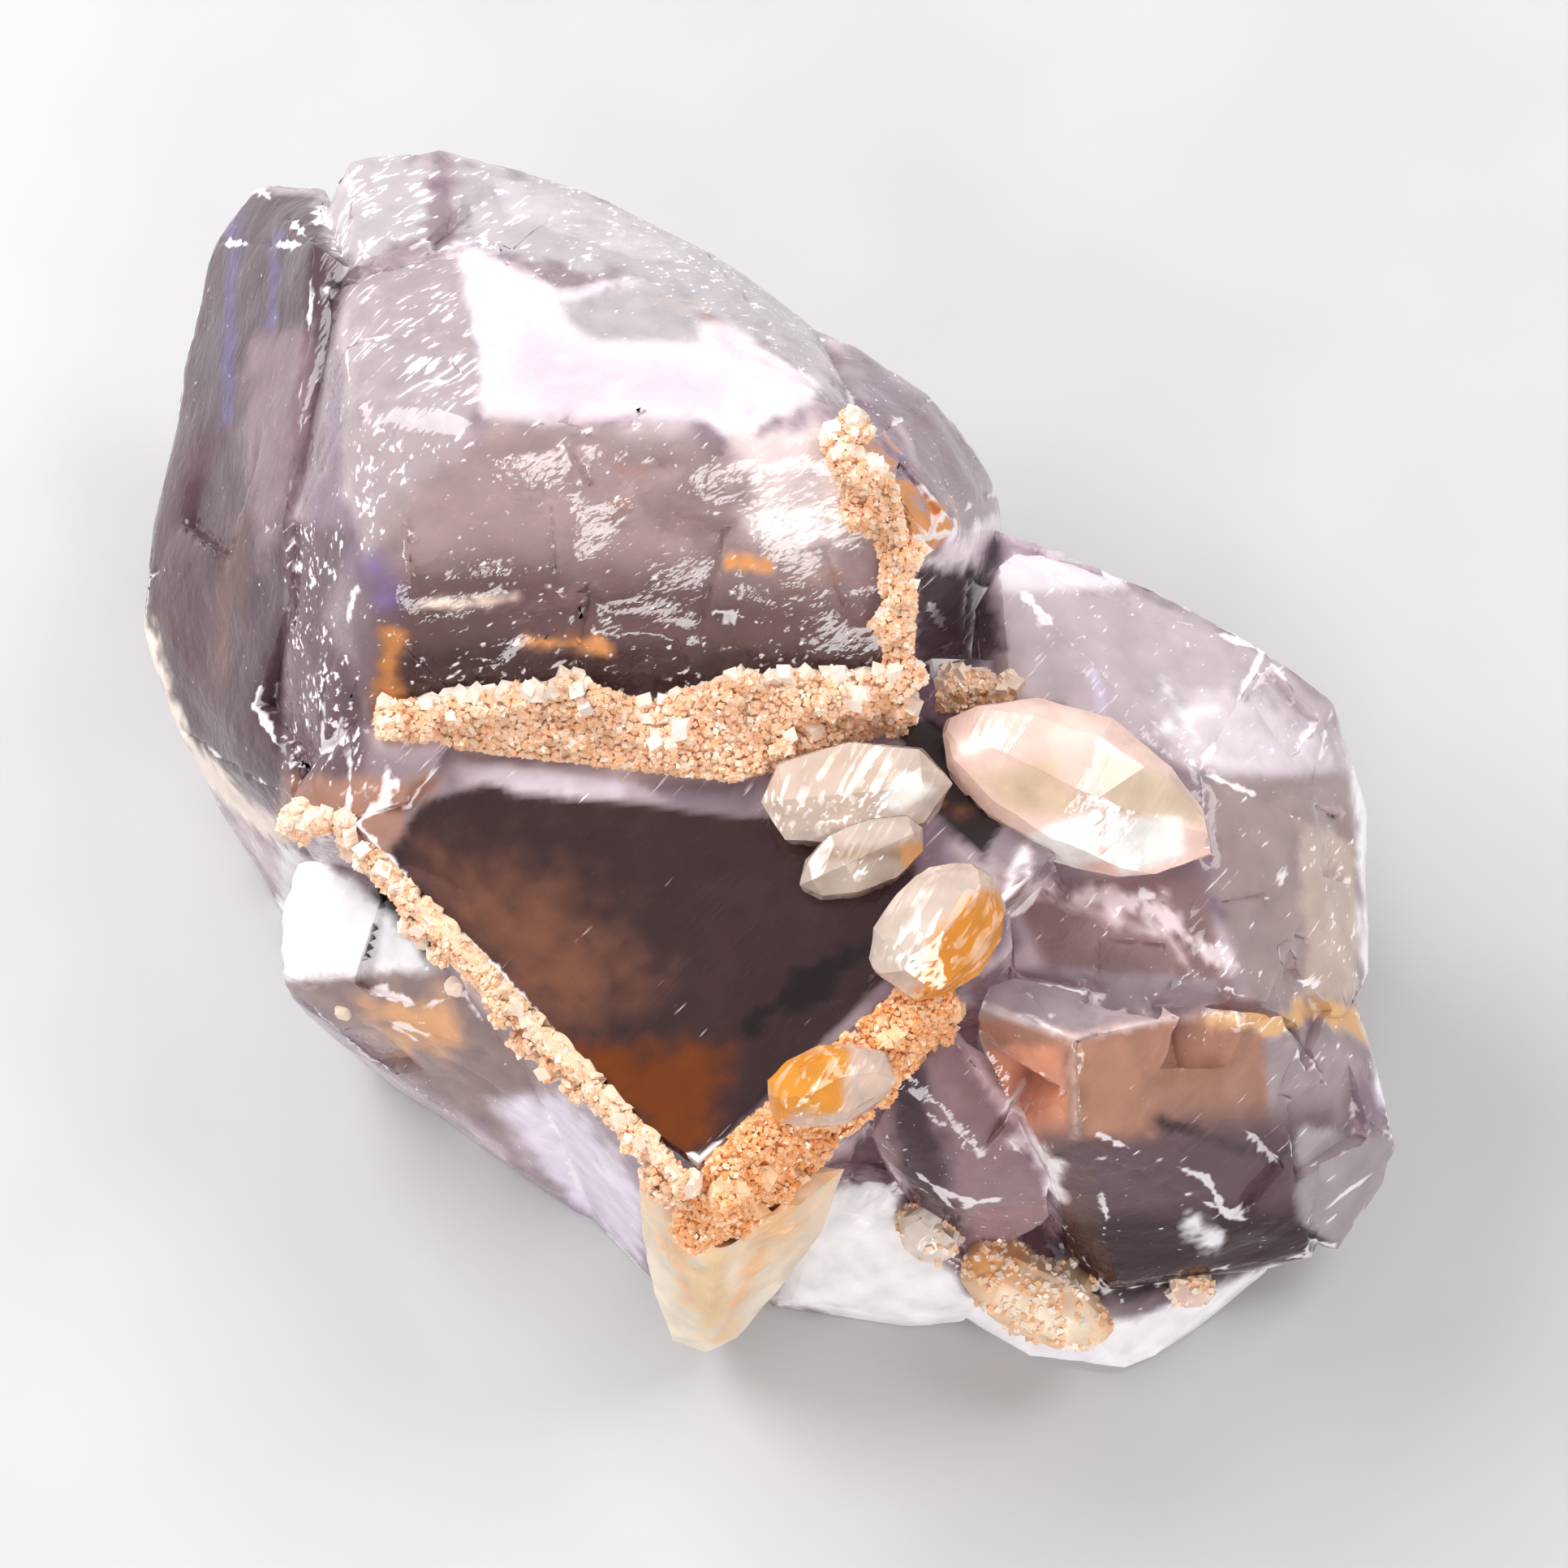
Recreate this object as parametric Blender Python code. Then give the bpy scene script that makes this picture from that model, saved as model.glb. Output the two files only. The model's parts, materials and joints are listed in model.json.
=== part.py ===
"""A fluorite cluster: intergrown pale fluorite cubes, crusted along their edges with
sugary orange calcite and carrying larger, clear calcite crystals. It lies on the flat
cut where it left the rock. Metres, +Z up, +X to the right, the viewer stands at -Y.
"""

import math
import random

import bmesh
import bpy
from mathutils import Matrix, Vector
from mathutils.bvhtree import BVHTree

MM = 0.001
CLUSTER_NAME = "fluorite_specimen"

# The cluster is laid out as a viewer sees it, from above and in front: u is right of the
# picture's centre, v is above it and height is above the ground, all in mm
VIEW_ELEVATION = math.radians(66)
VIEW_DISTANCE = 260 * MM
PICTURE_CENTRE = Vector((0.75, -3.0, 15.0)) * MM
AHEAD = Vector((0, math.cos(VIEW_ELEVATION), -math.sin(VIEW_ELEVATION)))
UPWARD = Vector((0, math.sin(VIEW_ELEVATION), math.cos(VIEW_ELEVATION)))

# Driving sizes
DARK_CUBE_TOP = 20 * MM
DARK_CUBE_EDGE = 21 * MM
DARK_CUBE_TURN = math.radians(42.5)
DARK_CUBE_CORNER = (-4.06, -16.6)
CUT_DEPTH = 2 * MM
CONTACT_GAP = 0.36 * MM
MERGE_DISTANCE = 0.002 * MM
GROUND_SPAN = 200 * MM

# Chipping of the fluorite: depth of the bites along its long edges
CHIP_LEAST = 0.15 * MM
CHIP_MOST = 0.7 * MM
CHIP_EDGE_LENGTH = 4 * MM
CHIP_EDGE_ANGLE = math.radians(28)
CHIP_SKEW = 0.07
CHIPS_PER_BLOCK = 10
CHIP_PLACES = (0.3, 0.7)

# Cleavage steps: shallow pockets broken out of the faces
STEP_COUNT = 32
STEP_SIZES = (2.2, 6.5)
STEP_DEPTHS = (0.2, 0.6)
STEP_TILT = math.radians(9)
STEP_FIELD = (-26, 24, -19, 26)
STEP_LEAST_HEIGHT = 2.4 * MM
WHOLE_FACE_MARGIN = 0.8 * MM

# Sugary grains of the crusts
GRAIN_LEAST = 0.65 * MM
GRAIN_MOST = 1.15 * MM
GRAIN_STRETCHES = ((0.7, 1.0), (1.0, 1.5))
GRAINS_PER_MM2 = 0.36
BAND_CELLS = 3
BAND_CROWN = 0.5
BAND_ROOT = 0.6
SHOULDER = 0.6
CELL_SWELL = 1.13


def seen(u, v, height):
    """The point at this height that the viewer sees u right of and v above the centre, in mm."""
    eye = PICTURE_CENTRE - VIEW_DISTANCE * AHEAD
    ray = VIEW_DISTANCE * AHEAD + Vector((u * MM, 0, 0)) + v * MM * UPWARD
    return eye + ray * ((height * MM - eye.z) / ray.z)


def below(x, y):
    """A point under the rock cut, in mm, where a block's hidden root ends."""
    return Vector((x * MM, y * MM, -CUT_DEPTH))


# Each broken block of fluorite: corners as seen (u, v, height), then root corners (x, y)
BLOCKS = {
    "tall_block": (
        [
            (-18.4, 17.0, 29.5), (-12.8, 15.4, 31.5), (3.1, 15.1, 31.0), (-18.1, 9.7, 27.0),
            (-17.9, 3.0, 22.0), (5.6, 4.1, 22.0), (5.6, 11.4, 28.0), (-18.8, 27.0, 22.0),
            (-14.9, 27.4, 22.0), (-7.9, 25.4, 21.0), (-3.4, 23.3, 21.0), (1.4, 19.7, 20.0),
            (-21.3, 11.4, 22.3), (-21.3, 0.4, 17.3), (-20.4, 23.5, 20.5),
        ],
        [(-20.5, 17.0), (-2.0, 19.0), (5.0, 12.0), (5.0, -6.0), (-20.5, -5.0)],
    ),
    "lip_block": (
        [
            (-21.4, 0.6, 17.6), (-18.0, 3.2, 21.3), (-14.3, 0.9, 20.6), (-13.8, 3.2, 21.0),
            (-16.3, -1.0, 20.4), (-18.2, -2.5, 19.7), (-21.4, -1.9, 17.4),
        ],
        [(-19.5, -3.0), (-19.5, 2.0), (-10.0, 2.0), (-12.0, -5.0)],
    ),
    "left_block": (
        [
            (-22.7, 25.8, 16.0), (-24.6, 23.3, 14.0), (-28.2, 8.6, 9.0), (-27.6, 6.2, 8.0),
            (-26.3, 2.3, 7.0), (-21.7, -2.2, 9.0), (-21.1, -0.8, 17.0), (-21.4, 11.4, 23.0),
            (-20.3, 23.3, 24.0), (-19.8, 25.7, 19.0), (-18.8, 22.3, 25.0),
        ],
        [(-23.0, 15.0), (-24.5, 3.0), (-21.0, -4.0), (-12.0, 16.0), (-12.0, -4.0)],
    ),
    "shoulder_block": (
        [
            (0.0, 20.4, 19.0), (3.3, 18.8, 19.0), (6.5, 16.7, 18.5), (8.5, 14.0, 17.0),
            (10.1, 11.7, 14.0), (8.2, 10.9, 22.0), (3.1, 14.5, 28.0), (5.2, 10.5, 26.5),
            (7.4, 9.8, 20.0),
        ],
        [(0.0, 14.0), (8.0, 8.0), (8.5, 3.0), (1.0, 2.0)],
    ),
    "right_block": (
        [
            (8.2, 10.3, 20.0), (14.2, 9.5, 17.0), (14.7, 8.5, 17.0), (20.8, 5.8, 16.0),
            (23.8, 3.6, 14.0), (25.1, -1.2, 11.0), (25.3, -8.2, 9.0), (9.6, 3.9, 19.5),
            (18.0, 0.6, 19.0), (9.6, -4.0, 17.5), (18.7, -4.0, 18.0), (22.5, -1.5, 16.5),
            (19.0, -9.9, 17.5), (10.0, -8.0, 16.5), (24.5, -10.0, 11.0),
        ],
        [(10.0, 6.0), (20.0, 2.0), (22.5, -4.0), (22.0, -14.0), (9.0, -12.0)],
    ),
    "bridge_block": (
        [
            (5.5, 5.4, 18.8), (9.9, 5.4, 18.4), (6.0, -1.0, 16.0), (9.8, -3.0, 17.5),
            (9.9, -8.2, 18.5), (7.5, -9.2, 17.5), (5.5, -6.0, 15.0),
        ],
        [(4.0, 0.0), (10.0, 2.0), (10.0, -12.0), (4.0, -10.0)],
    ),
    "corner_block": (
        [
            (12.6, -11.0, 20.5), (7.8, -9.1, 18.5), (9.9, -8.4, 18.5), (18.3, -9.8, 18.5),
            (12.0, -18.0, 12.5), (14.5, -22.5, 4.0), (23.6, -20.3, 4.5), (24.0, -11.7, 13.0),
            (21.5, -10.0, 16.0), (20.5, -18.5, 9.5), (12.7, -15.3, 17.6),
        ],
        [(9.0, -11.0), (13.0, -20.5), (21.5, -18.0), (22.0, -9.0)],
    ),
    "wing_block": (
        [
            (21.8, -9.6, 14.0), (25.3, -8.6, 9.5), (25.8, -13.2, 9.0), (26.9, -15.7, 6.5),
            (25.3, -17.5, 4.0), (23.9, -20.1, 3.5), (22.0, -19.5, 6.5), (23.0, -13.0, 12.0),
        ],
        [(20.0, -9.0), (24.0, -11.0), (22.0, -17.0), (18.0, -16.0)],
    ),
    "violet_block": (
        [
            (3.8, -15.2, 13.0), (5.0, -12.7, 15.0), (7.8, -10.2, 16.0), (12.0, -18.0, 12.0),
            (8.0, -21.0, 5.0), (5.0, -17.6, 8.0), (11.5, -19.0, 9.0),
        ],
        [(4.5, -10.0), (6.0, -16.5), (8.5, -18.5), (13.0, -14.0)],
    ),
    "front_slab": (
        [
            (-1.1, -22.5, 0.6), (2.6, -22.6, 0.6), (4.7, -23.5, 0.5), (7.7, -23.2, 0.5),
            (0.5, -17.6, 7.0), (4.2, -16.6, 8.0), (9.9, -21.6, 5.0), (1.0, -20.5, 4.0),
        ],
        [(-1.5, -20.5), (7.0, -21.5), (10.0, -16.0), (-1.0, -12.0)],
    ),
    "right_slab": (
        [
            (7.7, -23.0, 1.0), (10.6, -24.7, 0.5), (14.7, -25.2, 0.5), (18.0, -23.9, 0.6),
            (19.7, -22.2, 1.5), (22.2, -20.3, 2.5), (10.0, -21.0, 5.5), (18.5, -20.5, 5.0),
        ],
        [(8.0, -20.5), (14.0, -22.5), (19.5, -20.0), (19.0, -12.0), (8.0, -12.0)],
    ),
    "low_left_block": (
        [
            (-21.7, -3.3, 12.5), (-21.8, -8.6, 10.5), (-14.7, -7.9, 13.0), (-17.0, -3.5, 13.5),
            (-20.5, -10.2, 4.0), (-17.0, -12.1, 1.0), (-13.9, -13.8, 0.5), (-10.0, -17.0, 0.5),
            (-6.4, -20.2, 0.5), (-9.5, -13.0, 10.0),
        ],
        [(-18.0, -4.0), (-16.0, -11.0), (-8.0, -17.0), (-6.0, -8.0), (-14.0, 0.0)],
    ),
}

# The shared root of the blocks (x, y)
ROOT_OUTLINE = [
    (-20, 2), (-18, 14), (-8, 19), (4, 14), (14, 4), (21, -3), (20, -14), (12, -18), (3, -17), (-3, -18),
    (-14, -10),
]
ROOT_HEIGHT = 11 * MM
ROOT_TAPER = 0.8

# Sugary crusts: bands laid on the fluorite along a line of (u, v, half width, thickness)
LEDGE_BANDS = [
    [
        (-17.2, 2.7, 0.7, 0.9), (-12.8, 2.7, 1.2, 1.3), (-9.3, 2.6, 1.5, 1.5), (-5.8, 2.2, 1.5, 1.5),
        (-2.3, 2.3, 2.0, 1.7), (1.2, 3.0, 1.7, 1.5), (4.0, 3.5, 1.2, 1.3), (5.6, 4.2, 0.9, 1.1),
    ],
    [(5.0, 3.8, 0.7, 1.2), (5.0, 7.4, 0.6, 1.0), (4.7, 10.2, 0.7, 0.9)],
    [(5.0, 9.6, 1.2, 0.8), (4.2, 12.6, 1.5, 0.8), (2.2, 15.0, 0.8, 0.6)],
]
SADDLE_BAND = [(6.8, 4.0, 0.8, 1.1), (8.2, 3.9, 0.8, 1.1), (9.6, 3.6, 0.6, 0.9)]
LIP_BAND = [(-21.0, -2.0, 0.7, 0.9), (-19.1, -2.3, 0.8, 0.9), (-17.0, -2.4, 0.6, 0.9)]

# Sugary crusts on the dark cube's sides: (length along the edge, drop below it, half height), in mm
LEFT_EDGE_ROWS = [(-0.4, 0.7, 0.9), (5.0, 0.7, 0.9), (10.0, 0.7, 0.9), (15.0, 0.7, 0.9), (20.0, 0.7, 0.9)]
LEFT_EDGE_THICKNESS = 1.0 * MM
RIGHT_EDGE_ROWS = [(-0.3, 2.6, 2.8), (2.5, 3.6, 3.9), (6.0, 3.2, 3.5), (9.5, 2.4, 2.7), (13.5, 2.0, 2.3)]
RIGHT_EDGE_THICKNESS = 1.7 * MM

# Calcite crystals: both ends (u, v), lift of each above the fluorite, width, depth, sides, rings
CALCITES = {
    "calcite_large": [((7.0, 2.5), (18.1, -3.0), 1.7, 6.3, 4.8, 8, 6)],
    "calcite_striated_pair": [
        ((-1.2, -0.8), (7.1, 0.0), 1.3, 5.2, 3.6, 6, 4),
        ((0.8, -4.3), (6.0, -1.9), 0.9, 3.2, 2.4, 6, 5),
    ],
    "calcite_orange_upper": [((4.2, -8.8), (9.0, -4.0), 1.6, 5.0, 3.8, 8, 6)],
    "calcite_orange_lower": [((-1.0, -13.6), (4.9, -11.9), 4.4, 3.4, 3.0, 8, 6)],
    "calcite_bud": [((5.3, -18.0), (7.2, -20.4), 0.6, 2.6, 1.8, 8, 6)],
    "calcite_coated": [((7.7, -20.4), (13.9, -23.8), 0.9, 3.6, 2.8, 8, 6)],
    "calcite_grain": [((16.5, -21.9), (18.5, -21.7), 0.6, 1.5, 1.3, 7, 5)],
}
CALCITE_JITTER = 0.07
CALCITE_SLOPE_SHARE = 0.4

# The blunt lobe below the dark cube's corner (u, v, height)
CALCITE_FOOT = [
    (-6.3, -16.4, 14.6), (-5.2, -17.8, 15.4), (-2.6, -19.4, 14.4), (0.6, -18.2, 13.4),
    (2.6, -16.6, 12.4), (-6.1, -19.4, 9.6), (-3.0, -21.0, 11.6), (1.6, -19.4, 8.8),
    (-5.6, -22.0, 5.4), (-3.2, -22.8, 7.6), (-0.6, -22.2, 5.4), (-2.0, -23.9, 2.8),
    (-3.4, -24.5, 2.2), (-4.8, -24.0, 2.8), (-3.5, -23.4, 0.8), (-5.0, -20.5, 2.0),
    (-1.0, -20.0, 2.0), (-3.0, -16.0, 9.0),
]

# Colour, roughness and clearness of each piece
LOOKS = {
    "fluorite_cluster": ((0.62, 0.55, 0.64), 0.15, 0.6),
    "druse_ledge": ((0.86, 0.60, 0.40), 0.5, 0.0),
    "druse_saddle": ((0.86, 0.60, 0.40), 0.5, 0.0),
    "druse_left_edge": ((0.86, 0.60, 0.40), 0.5, 0.0),
    "druse_lip": ((0.86, 0.60, 0.40), 0.5, 0.0),
    "druse_right_edge": ((0.88, 0.58, 0.34), 0.5, 0.0),
    "calcite_large": ((0.90, 0.80, 0.70), 0.2, 0.3),
    "calcite_striated_pair": ((0.88, 0.78, 0.70), 0.15, 0.6),
    "calcite_orange_upper": ((0.90, 0.55, 0.22), 0.2, 0.4),
    "calcite_orange_lower": ((0.90, 0.55, 0.22), 0.2, 0.4),
    "calcite_foot": ((0.88, 0.72, 0.52), 0.3, 0.3),
    "calcite_bud": ((0.78, 0.70, 0.62), 0.3, 0.2),
    "calcite_coated": ((0.82, 0.66, 0.48), 0.4, 0.1),
    "calcite_grain": ((0.85, 0.74, 0.66), 0.3, 0.3),
}


# Seeds of the pieces' chance details
FLUORITE_SEED = 7
LEDGE_SEED = 11
SADDLE_SEED = 12
LEFT_EDGE_SEED = 13
LIP_SEED = 14
RIGHT_EDGE_SEED = 17
FIRST_CALCITE_SEED = 100


def clear_scene():
    for item in list(bpy.data.objects):
        bpy.data.objects.remove(item, do_unlink=True)


def make_collection(name):
    collection = bpy.data.collections.new(name)
    bpy.context.scene.collection.children.link(collection)
    return collection


def make_object(name, bm, collection):
    """An object from a bmesh, which stays usable."""
    mesh = bpy.data.meshes.new(name)
    bm.to_mesh(mesh)
    item = bpy.data.objects.new(name, mesh)
    collection.objects.link(item)
    return item


def make_material(name):
    colour, roughness, clearness = LOOKS[name]
    material = bpy.data.materials.new(name)
    material.use_nodes = True
    shader = material.node_tree.nodes["Principled BSDF"]
    shader.inputs["Base Color"].default_value = (*colour, 1)
    shader.inputs["Roughness"].default_value = roughness
    shader.inputs["Metallic"].default_value = 0
    shader.inputs["Transmission Weight"].default_value = clearness
    return material


# Convex crystals


def hull(points):
    """The convex solid around these points."""
    bm = bmesh.new()
    for point in points:
        bm.verts.new(point)
    found = bmesh.ops.convex_hull(bm, input=bm.verts)
    inner = [g for g in found["geom_interior"] if isinstance(g, bmesh.types.BMVert)]
    bmesh.ops.delete(bm, geom=inner, context="VERTS")
    bmesh.ops.remove_doubles(bm, verts=bm.verts, dist=MERGE_DISTANCE)
    bmesh.ops.recalc_face_normals(bm, faces=bm.faces)
    return bm


def corners_of(bm):
    return [vert.co.copy() for vert in bm.verts]


def grown(bm, gap):
    """The convex solid with each face pushed out by the gap."""
    bm.normal_update()
    return hull([corner.vert.co + face.normal * gap for face in bm.faces for corner in face.loops])


def cut_off(bm, point, normal):
    """The convex solid without what lies beyond a plane."""
    piece = bm.copy()
    bmesh.ops.bisect_plane(
        piece, geom=piece.verts[:] + piece.edges[:] + piece.faces[:],
        plane_co=point, plane_no=normal, clear_outer=True,
    )
    points = corners_of(piece)
    piece.free()
    return hull(points)


def chipped(bm, rng, count):
    """The convex solid with bites along its longest sharp edges."""
    bm.normal_update()
    sharp = [
        edge for edge in bm.edges
        if edge.calc_length() > CHIP_EDGE_LENGTH and edge.calc_face_angle(0) > CHIP_EDGE_ANGLE
    ]
    sharp.sort(key=lambda edge: -edge.calc_length())
    bites = []
    for edge in sharp[:count]:
        first, second = edge.link_faces
        skew = Vector([rng.uniform(-CHIP_SKEW, CHIP_SKEW) for _ in range(3)])
        normal = ((first.normal + second.normal).normalized() + skew).normalized()
        middle = edge.verts[0].co.lerp(edge.verts[1].co, rng.uniform(*CHIP_PLACES))
        bites.append((middle - normal * rng.uniform(CHIP_LEAST, CHIP_MOST), normal))
    for point, normal in bites:
        bm = cut_off(bm, point, normal)
    return bm


def turned_cube(size, centre, rotation, stretch=(1, 1, 1)):
    bm = bmesh.new()
    bmesh.ops.create_cube(bm, size=size)
    matrix = Matrix.Translation(centre) @ rotation.to_4x4() @ Matrix.Diagonal((*stretch, 1))
    bmesh.ops.transform(bm, matrix=matrix, verts=bm.verts)
    bmesh.ops.recalc_face_normals(bm, faces=bm.faces)
    return bm


def random_turn(rng):
    axis = Vector([rng.gauss(0, 1) for _ in range(3)]).normalized()
    return Matrix.Rotation(rng.uniform(0, math.pi), 3, axis)


# Solids made of many convex crystals


def box_of(bm):
    corners = corners_of(bm)
    low = Vector([min(c[i] for c in corners) for i in range(3)])
    high = Vector([max(c[i] for c in corners) for i in range(3)])
    return low, high


def boxes_meet(first, second):
    return all(first[0][i] < second[1][i] and second[0][i] < first[1][i] for i in range(3))


def applied(item):
    """The object's mesh with its Booleans applied, as one body."""
    bpy.context.view_layer.update()
    graph = bpy.context.evaluated_depsgraph_get()
    mesh = bpy.data.meshes.new_from_object(item.evaluated_get(graph))
    bm = bmesh.new()
    bm.from_mesh(mesh)
    bpy.data.meshes.remove(mesh)
    bmesh.ops.triangulate(bm, faces=bm.faces)
    keep_largest(bm)
    return bm


def is_closed(bm):
    return bool(bm.faces) and all(len(edge.link_faces) == 2 for edge in bm.edges)


def keep_largest(bm):
    """Drops crumbs that a cut has parted from the body."""
    left = set(bm.faces)
    bodies = []
    while left:
        body = {left.pop()}
        front = list(body)
        while front:
            face = front.pop()
            for edge in face.edges:
                for other in edge.link_faces:
                    if other in left:
                        left.discard(other)
                        body.add(other)
                        front.append(other)
        bodies.append(body)
    bodies.sort(key=lambda body: -sum(face.calc_area() for face in body))
    crumbs = [face for body in bodies[1:] for face in body]
    bmesh.ops.delete(bm, geom=crumbs, context="FACES")


def combine(name, base, others, operation, cutters):
    """One closed body from a base mesh and a list of convex solids."""
    start = make_object(name + "_base", base, cutters)
    group = bpy.data.collections.new(name + "_" + operation.lower())
    cutters.children.link(group)
    for number, other in enumerate(others):
        piece = make_object(f"{name}_{operation.lower()}_{number}", other, group)
        piece.hide_render = True
        piece.display_type = "WIRE"
    boolean = start.modifiers.new("Boolean", "BOOLEAN")
    boolean.operation = operation
    boolean.operand_type = "COLLECTION"
    boolean.collection = group
    boolean.solver = "EXACT"
    body = applied(start)
    if not is_closed(body):
        start.modifiers.remove(boolean)
        for piece in group.objects:
            boolean = start.modifiers.new("Boolean", "BOOLEAN")
            boolean.operation = operation
            boolean.object = piece
            boolean.solver = "MANIFOLD"
        body = applied(start)
    if not is_closed(body):
        raise ValueError(f"{name}: {operation.lower()} left holes")
    for item in list(group.objects) + [start]:
        bpy.data.objects.remove(item, do_unlink=True)
    bpy.data.collections.remove(group)
    return body


class Ground:
    """The surface that later crystals grow on, as the viewer sees it."""

    def __init__(self, body):
        self.tree = BVHTree.FromBMesh(body)

    def hit(self, u, v):
        """The surface point and normal seen at u, v (mm)."""
        eye = PICTURE_CENTRE - VIEW_DISTANCE * AHEAD
        ray = VIEW_DISTANCE * AHEAD + Vector((u * MM, 0, 0)) + v * MM * UPWARD
        return self.tree.ray_cast(eye, ray)[:2]

    def point(self, u, v, lift):
        """The point seen at u, v (mm), lifted towards the viewer."""
        return self.hit(u, v)[0] - AHEAD * lift * MM


class Specimen:
    """The pieces in the order they grew: each later one stops short of the earlier ones."""

    def __init__(self):
        self.parts = make_collection(CLUSTER_NAME)
        self.cutters = make_collection("cutters")
        self.crystals = []
        self.ground = None

    def add(self, name, crystals, steps=None):
        """Fuses convex crystals into one piece and clears the gap to its neighbours."""
        joined = crystals[0]
        if len(crystals) > 1:
            joined = combine(name, crystals[0], crystals[1:], "UNION", self.cutters)
        if steps:
            joined = combine(name, joined, steps(Ground(joined)), "DIFFERENCE", self.cutters)
        extent = box_of(joined)
        near = [grown(old, CONTACT_GAP) for old in self.crystals if boxes_meet(extent, box_of(old))]
        near.append(turned_cube(GROUND_SPAN, Vector((0, 0, -GROUND_SPAN / 2)), Matrix.Identity(3)))
        body = combine(name, joined, near, "DIFFERENCE", self.cutters)
        item = make_object(name, body, self.parts)
        item.data.materials.append(make_material(name))
        if self.ground is None:
            self.ground = Ground(body)
        self.crystals += crystals

    def centre(self):
        """Moves the finished pieces so that the origin is below the middle of their box."""
        corners = [vert.co for item in self.parts.objects for vert in item.data.vertices]
        low = Vector([min(corner[i] for corner in corners) for i in range(3)])
        high = Vector([max(corner[i] for corner in corners) for i in range(3)])
        middle = (low + high) / 2
        for item in self.parts.objects:
            item.data.transform(Matrix.Translation((-middle.x, -middle.y, -low.z)))


# Fluorite


def dark_cube_turn():
    return Matrix.Rotation(DARK_CUBE_TURN, 3, "Z")


def dark_cube_corner():
    return seen(*DARK_CUBE_CORNER, DARK_CUBE_TOP / MM)


def dark_cube():
    """The dark cube, whose flat top shows as a large V with its corner to the viewer."""
    half = DARK_CUBE_EDGE / 2
    centre = dark_cube_corner() + dark_cube_turn() @ Vector((half, half, 0)) - Vector((0, 0, half))
    return turned_cube(DARK_CUBE_EDGE, centre, dark_cube_turn())


def root():
    """The shared root of the blocks, which tapers upwards between them."""
    points = []
    for x, y in ROOT_OUTLINE:
        points.append(below(x, y))
        points.append(Vector((x * ROOT_TAPER, y * ROOT_TAPER, ROOT_HEIGHT / MM)) * MM)
    return hull(points)


def fluorite_crystals(rng):
    crystals = [dark_cube(), root()]
    for corners, roots in BLOCKS.values():
        block = hull([seen(*corner) for corner in corners] + [below(*root) for root in roots])
        crystals.append(chipped(block, rng, CHIPS_PER_BLOCK))
    return crystals


def cleavage_steps(ground, rng):
    """Cutters for the shallow pockets, none of them in the dark cube's whole face."""
    found = []
    left, right, low, high = STEP_FIELD
    while len(found) < STEP_COUNT:
        spot, normal = ground.hit(rng.uniform(left, right), rng.uniform(low, high))
        size = rng.uniform(*STEP_SIZES) * MM
        depth = rng.uniform(*STEP_DEPTHS) * MM
        spin = Matrix.Rotation(rng.uniform(0, math.pi / 2), 3, "Z")
        tilt = Matrix.Rotation(STEP_TILT, 3, "X")
        if spot is None or spot.z < STEP_LEAST_HEIGHT:
            continue
        if abs(spot.z - DARK_CUBE_TOP) < WHOLE_FACE_MARGIN:
            continue
        turn = normal.to_track_quat("Z", "Y").to_matrix() @ spin @ tilt
        found.append(turned_cube(size, spot + normal * (size / 2 - depth), turn))
    return found


# Sugary crusts


def laid_band(ground, rows):
    """Convex cells of a crust laid along a line on the ground."""
    sections = []
    for number, (u, v, half_width, thickness) in enumerate(rows):
        before = rows[max(number - 1, 0)]
        after = rows[min(number + 1, len(rows) - 1)]
        along = Vector((after[0] - before[0], after[1] - before[1])).normalized()
        section = []
        for step in range(BAND_CELLS + 1):
            side = 2 * step / BAND_CELLS - 1
            spot = (u - along.y * side * half_width, v + along.x * side * half_width)
            top = thickness * (1 - BAND_CROWN * side * side)
            section.append((ground.point(*spot, top), ground.point(*spot, -BAND_ROOT)))
        sections.append(section)
    cells = []
    for first, second in zip(sections, sections[1:]):
        for step in range(BAND_CELLS):
            corners = [*first[step], *first[step + 1], *second[step], *second[step + 1]]
            cells.append(hull(swollen(corners)))
    return cells


def swollen(points):
    """The points moved out from their middle, so that neighbouring cells overlap."""
    middle = sum(points, Vector()) / len(points)
    return [middle + (point - middle) * CELL_SWELL for point in points]


def laid_grains(ground, rows, rng):
    """Small rhombs strewn over a laid crust and fused to it."""
    found = []
    for first, second in zip(rows, rows[1:]):
        run = Vector((second[0] - first[0], second[1] - first[1]))
        along = run.normalized()
        count = max(2, round(run.length * (first[2] + second[2]) * GRAINS_PER_MM2))
        for _ in range(count):
            t = rng.random()
            side = rng.uniform(-1, 1)
            half_width = first[2] + (second[2] - first[2]) * t
            thickness = first[3] + (second[3] - first[3]) * t
            u = first[0] + run.x * t - along.y * side * half_width
            v = first[1] + run.y * t + along.x * side * half_width
            place = ground.point(u, v, thickness * (1 - BAND_CROWN * side * side))
            found.append(grain(place, rng))
    return found


def laid_crust(ground, rows, rng):
    return laid_band(ground, rows) + laid_grains(ground, rows, rng)


def grain(place, rng):
    size = rng.uniform(GRAIN_LEAST, GRAIN_MOST)
    stretch = (1, *(rng.uniform(*limits) for limits in GRAIN_STRETCHES))
    return turned_cube(size, place, random_turn(rng), stretch)


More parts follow.
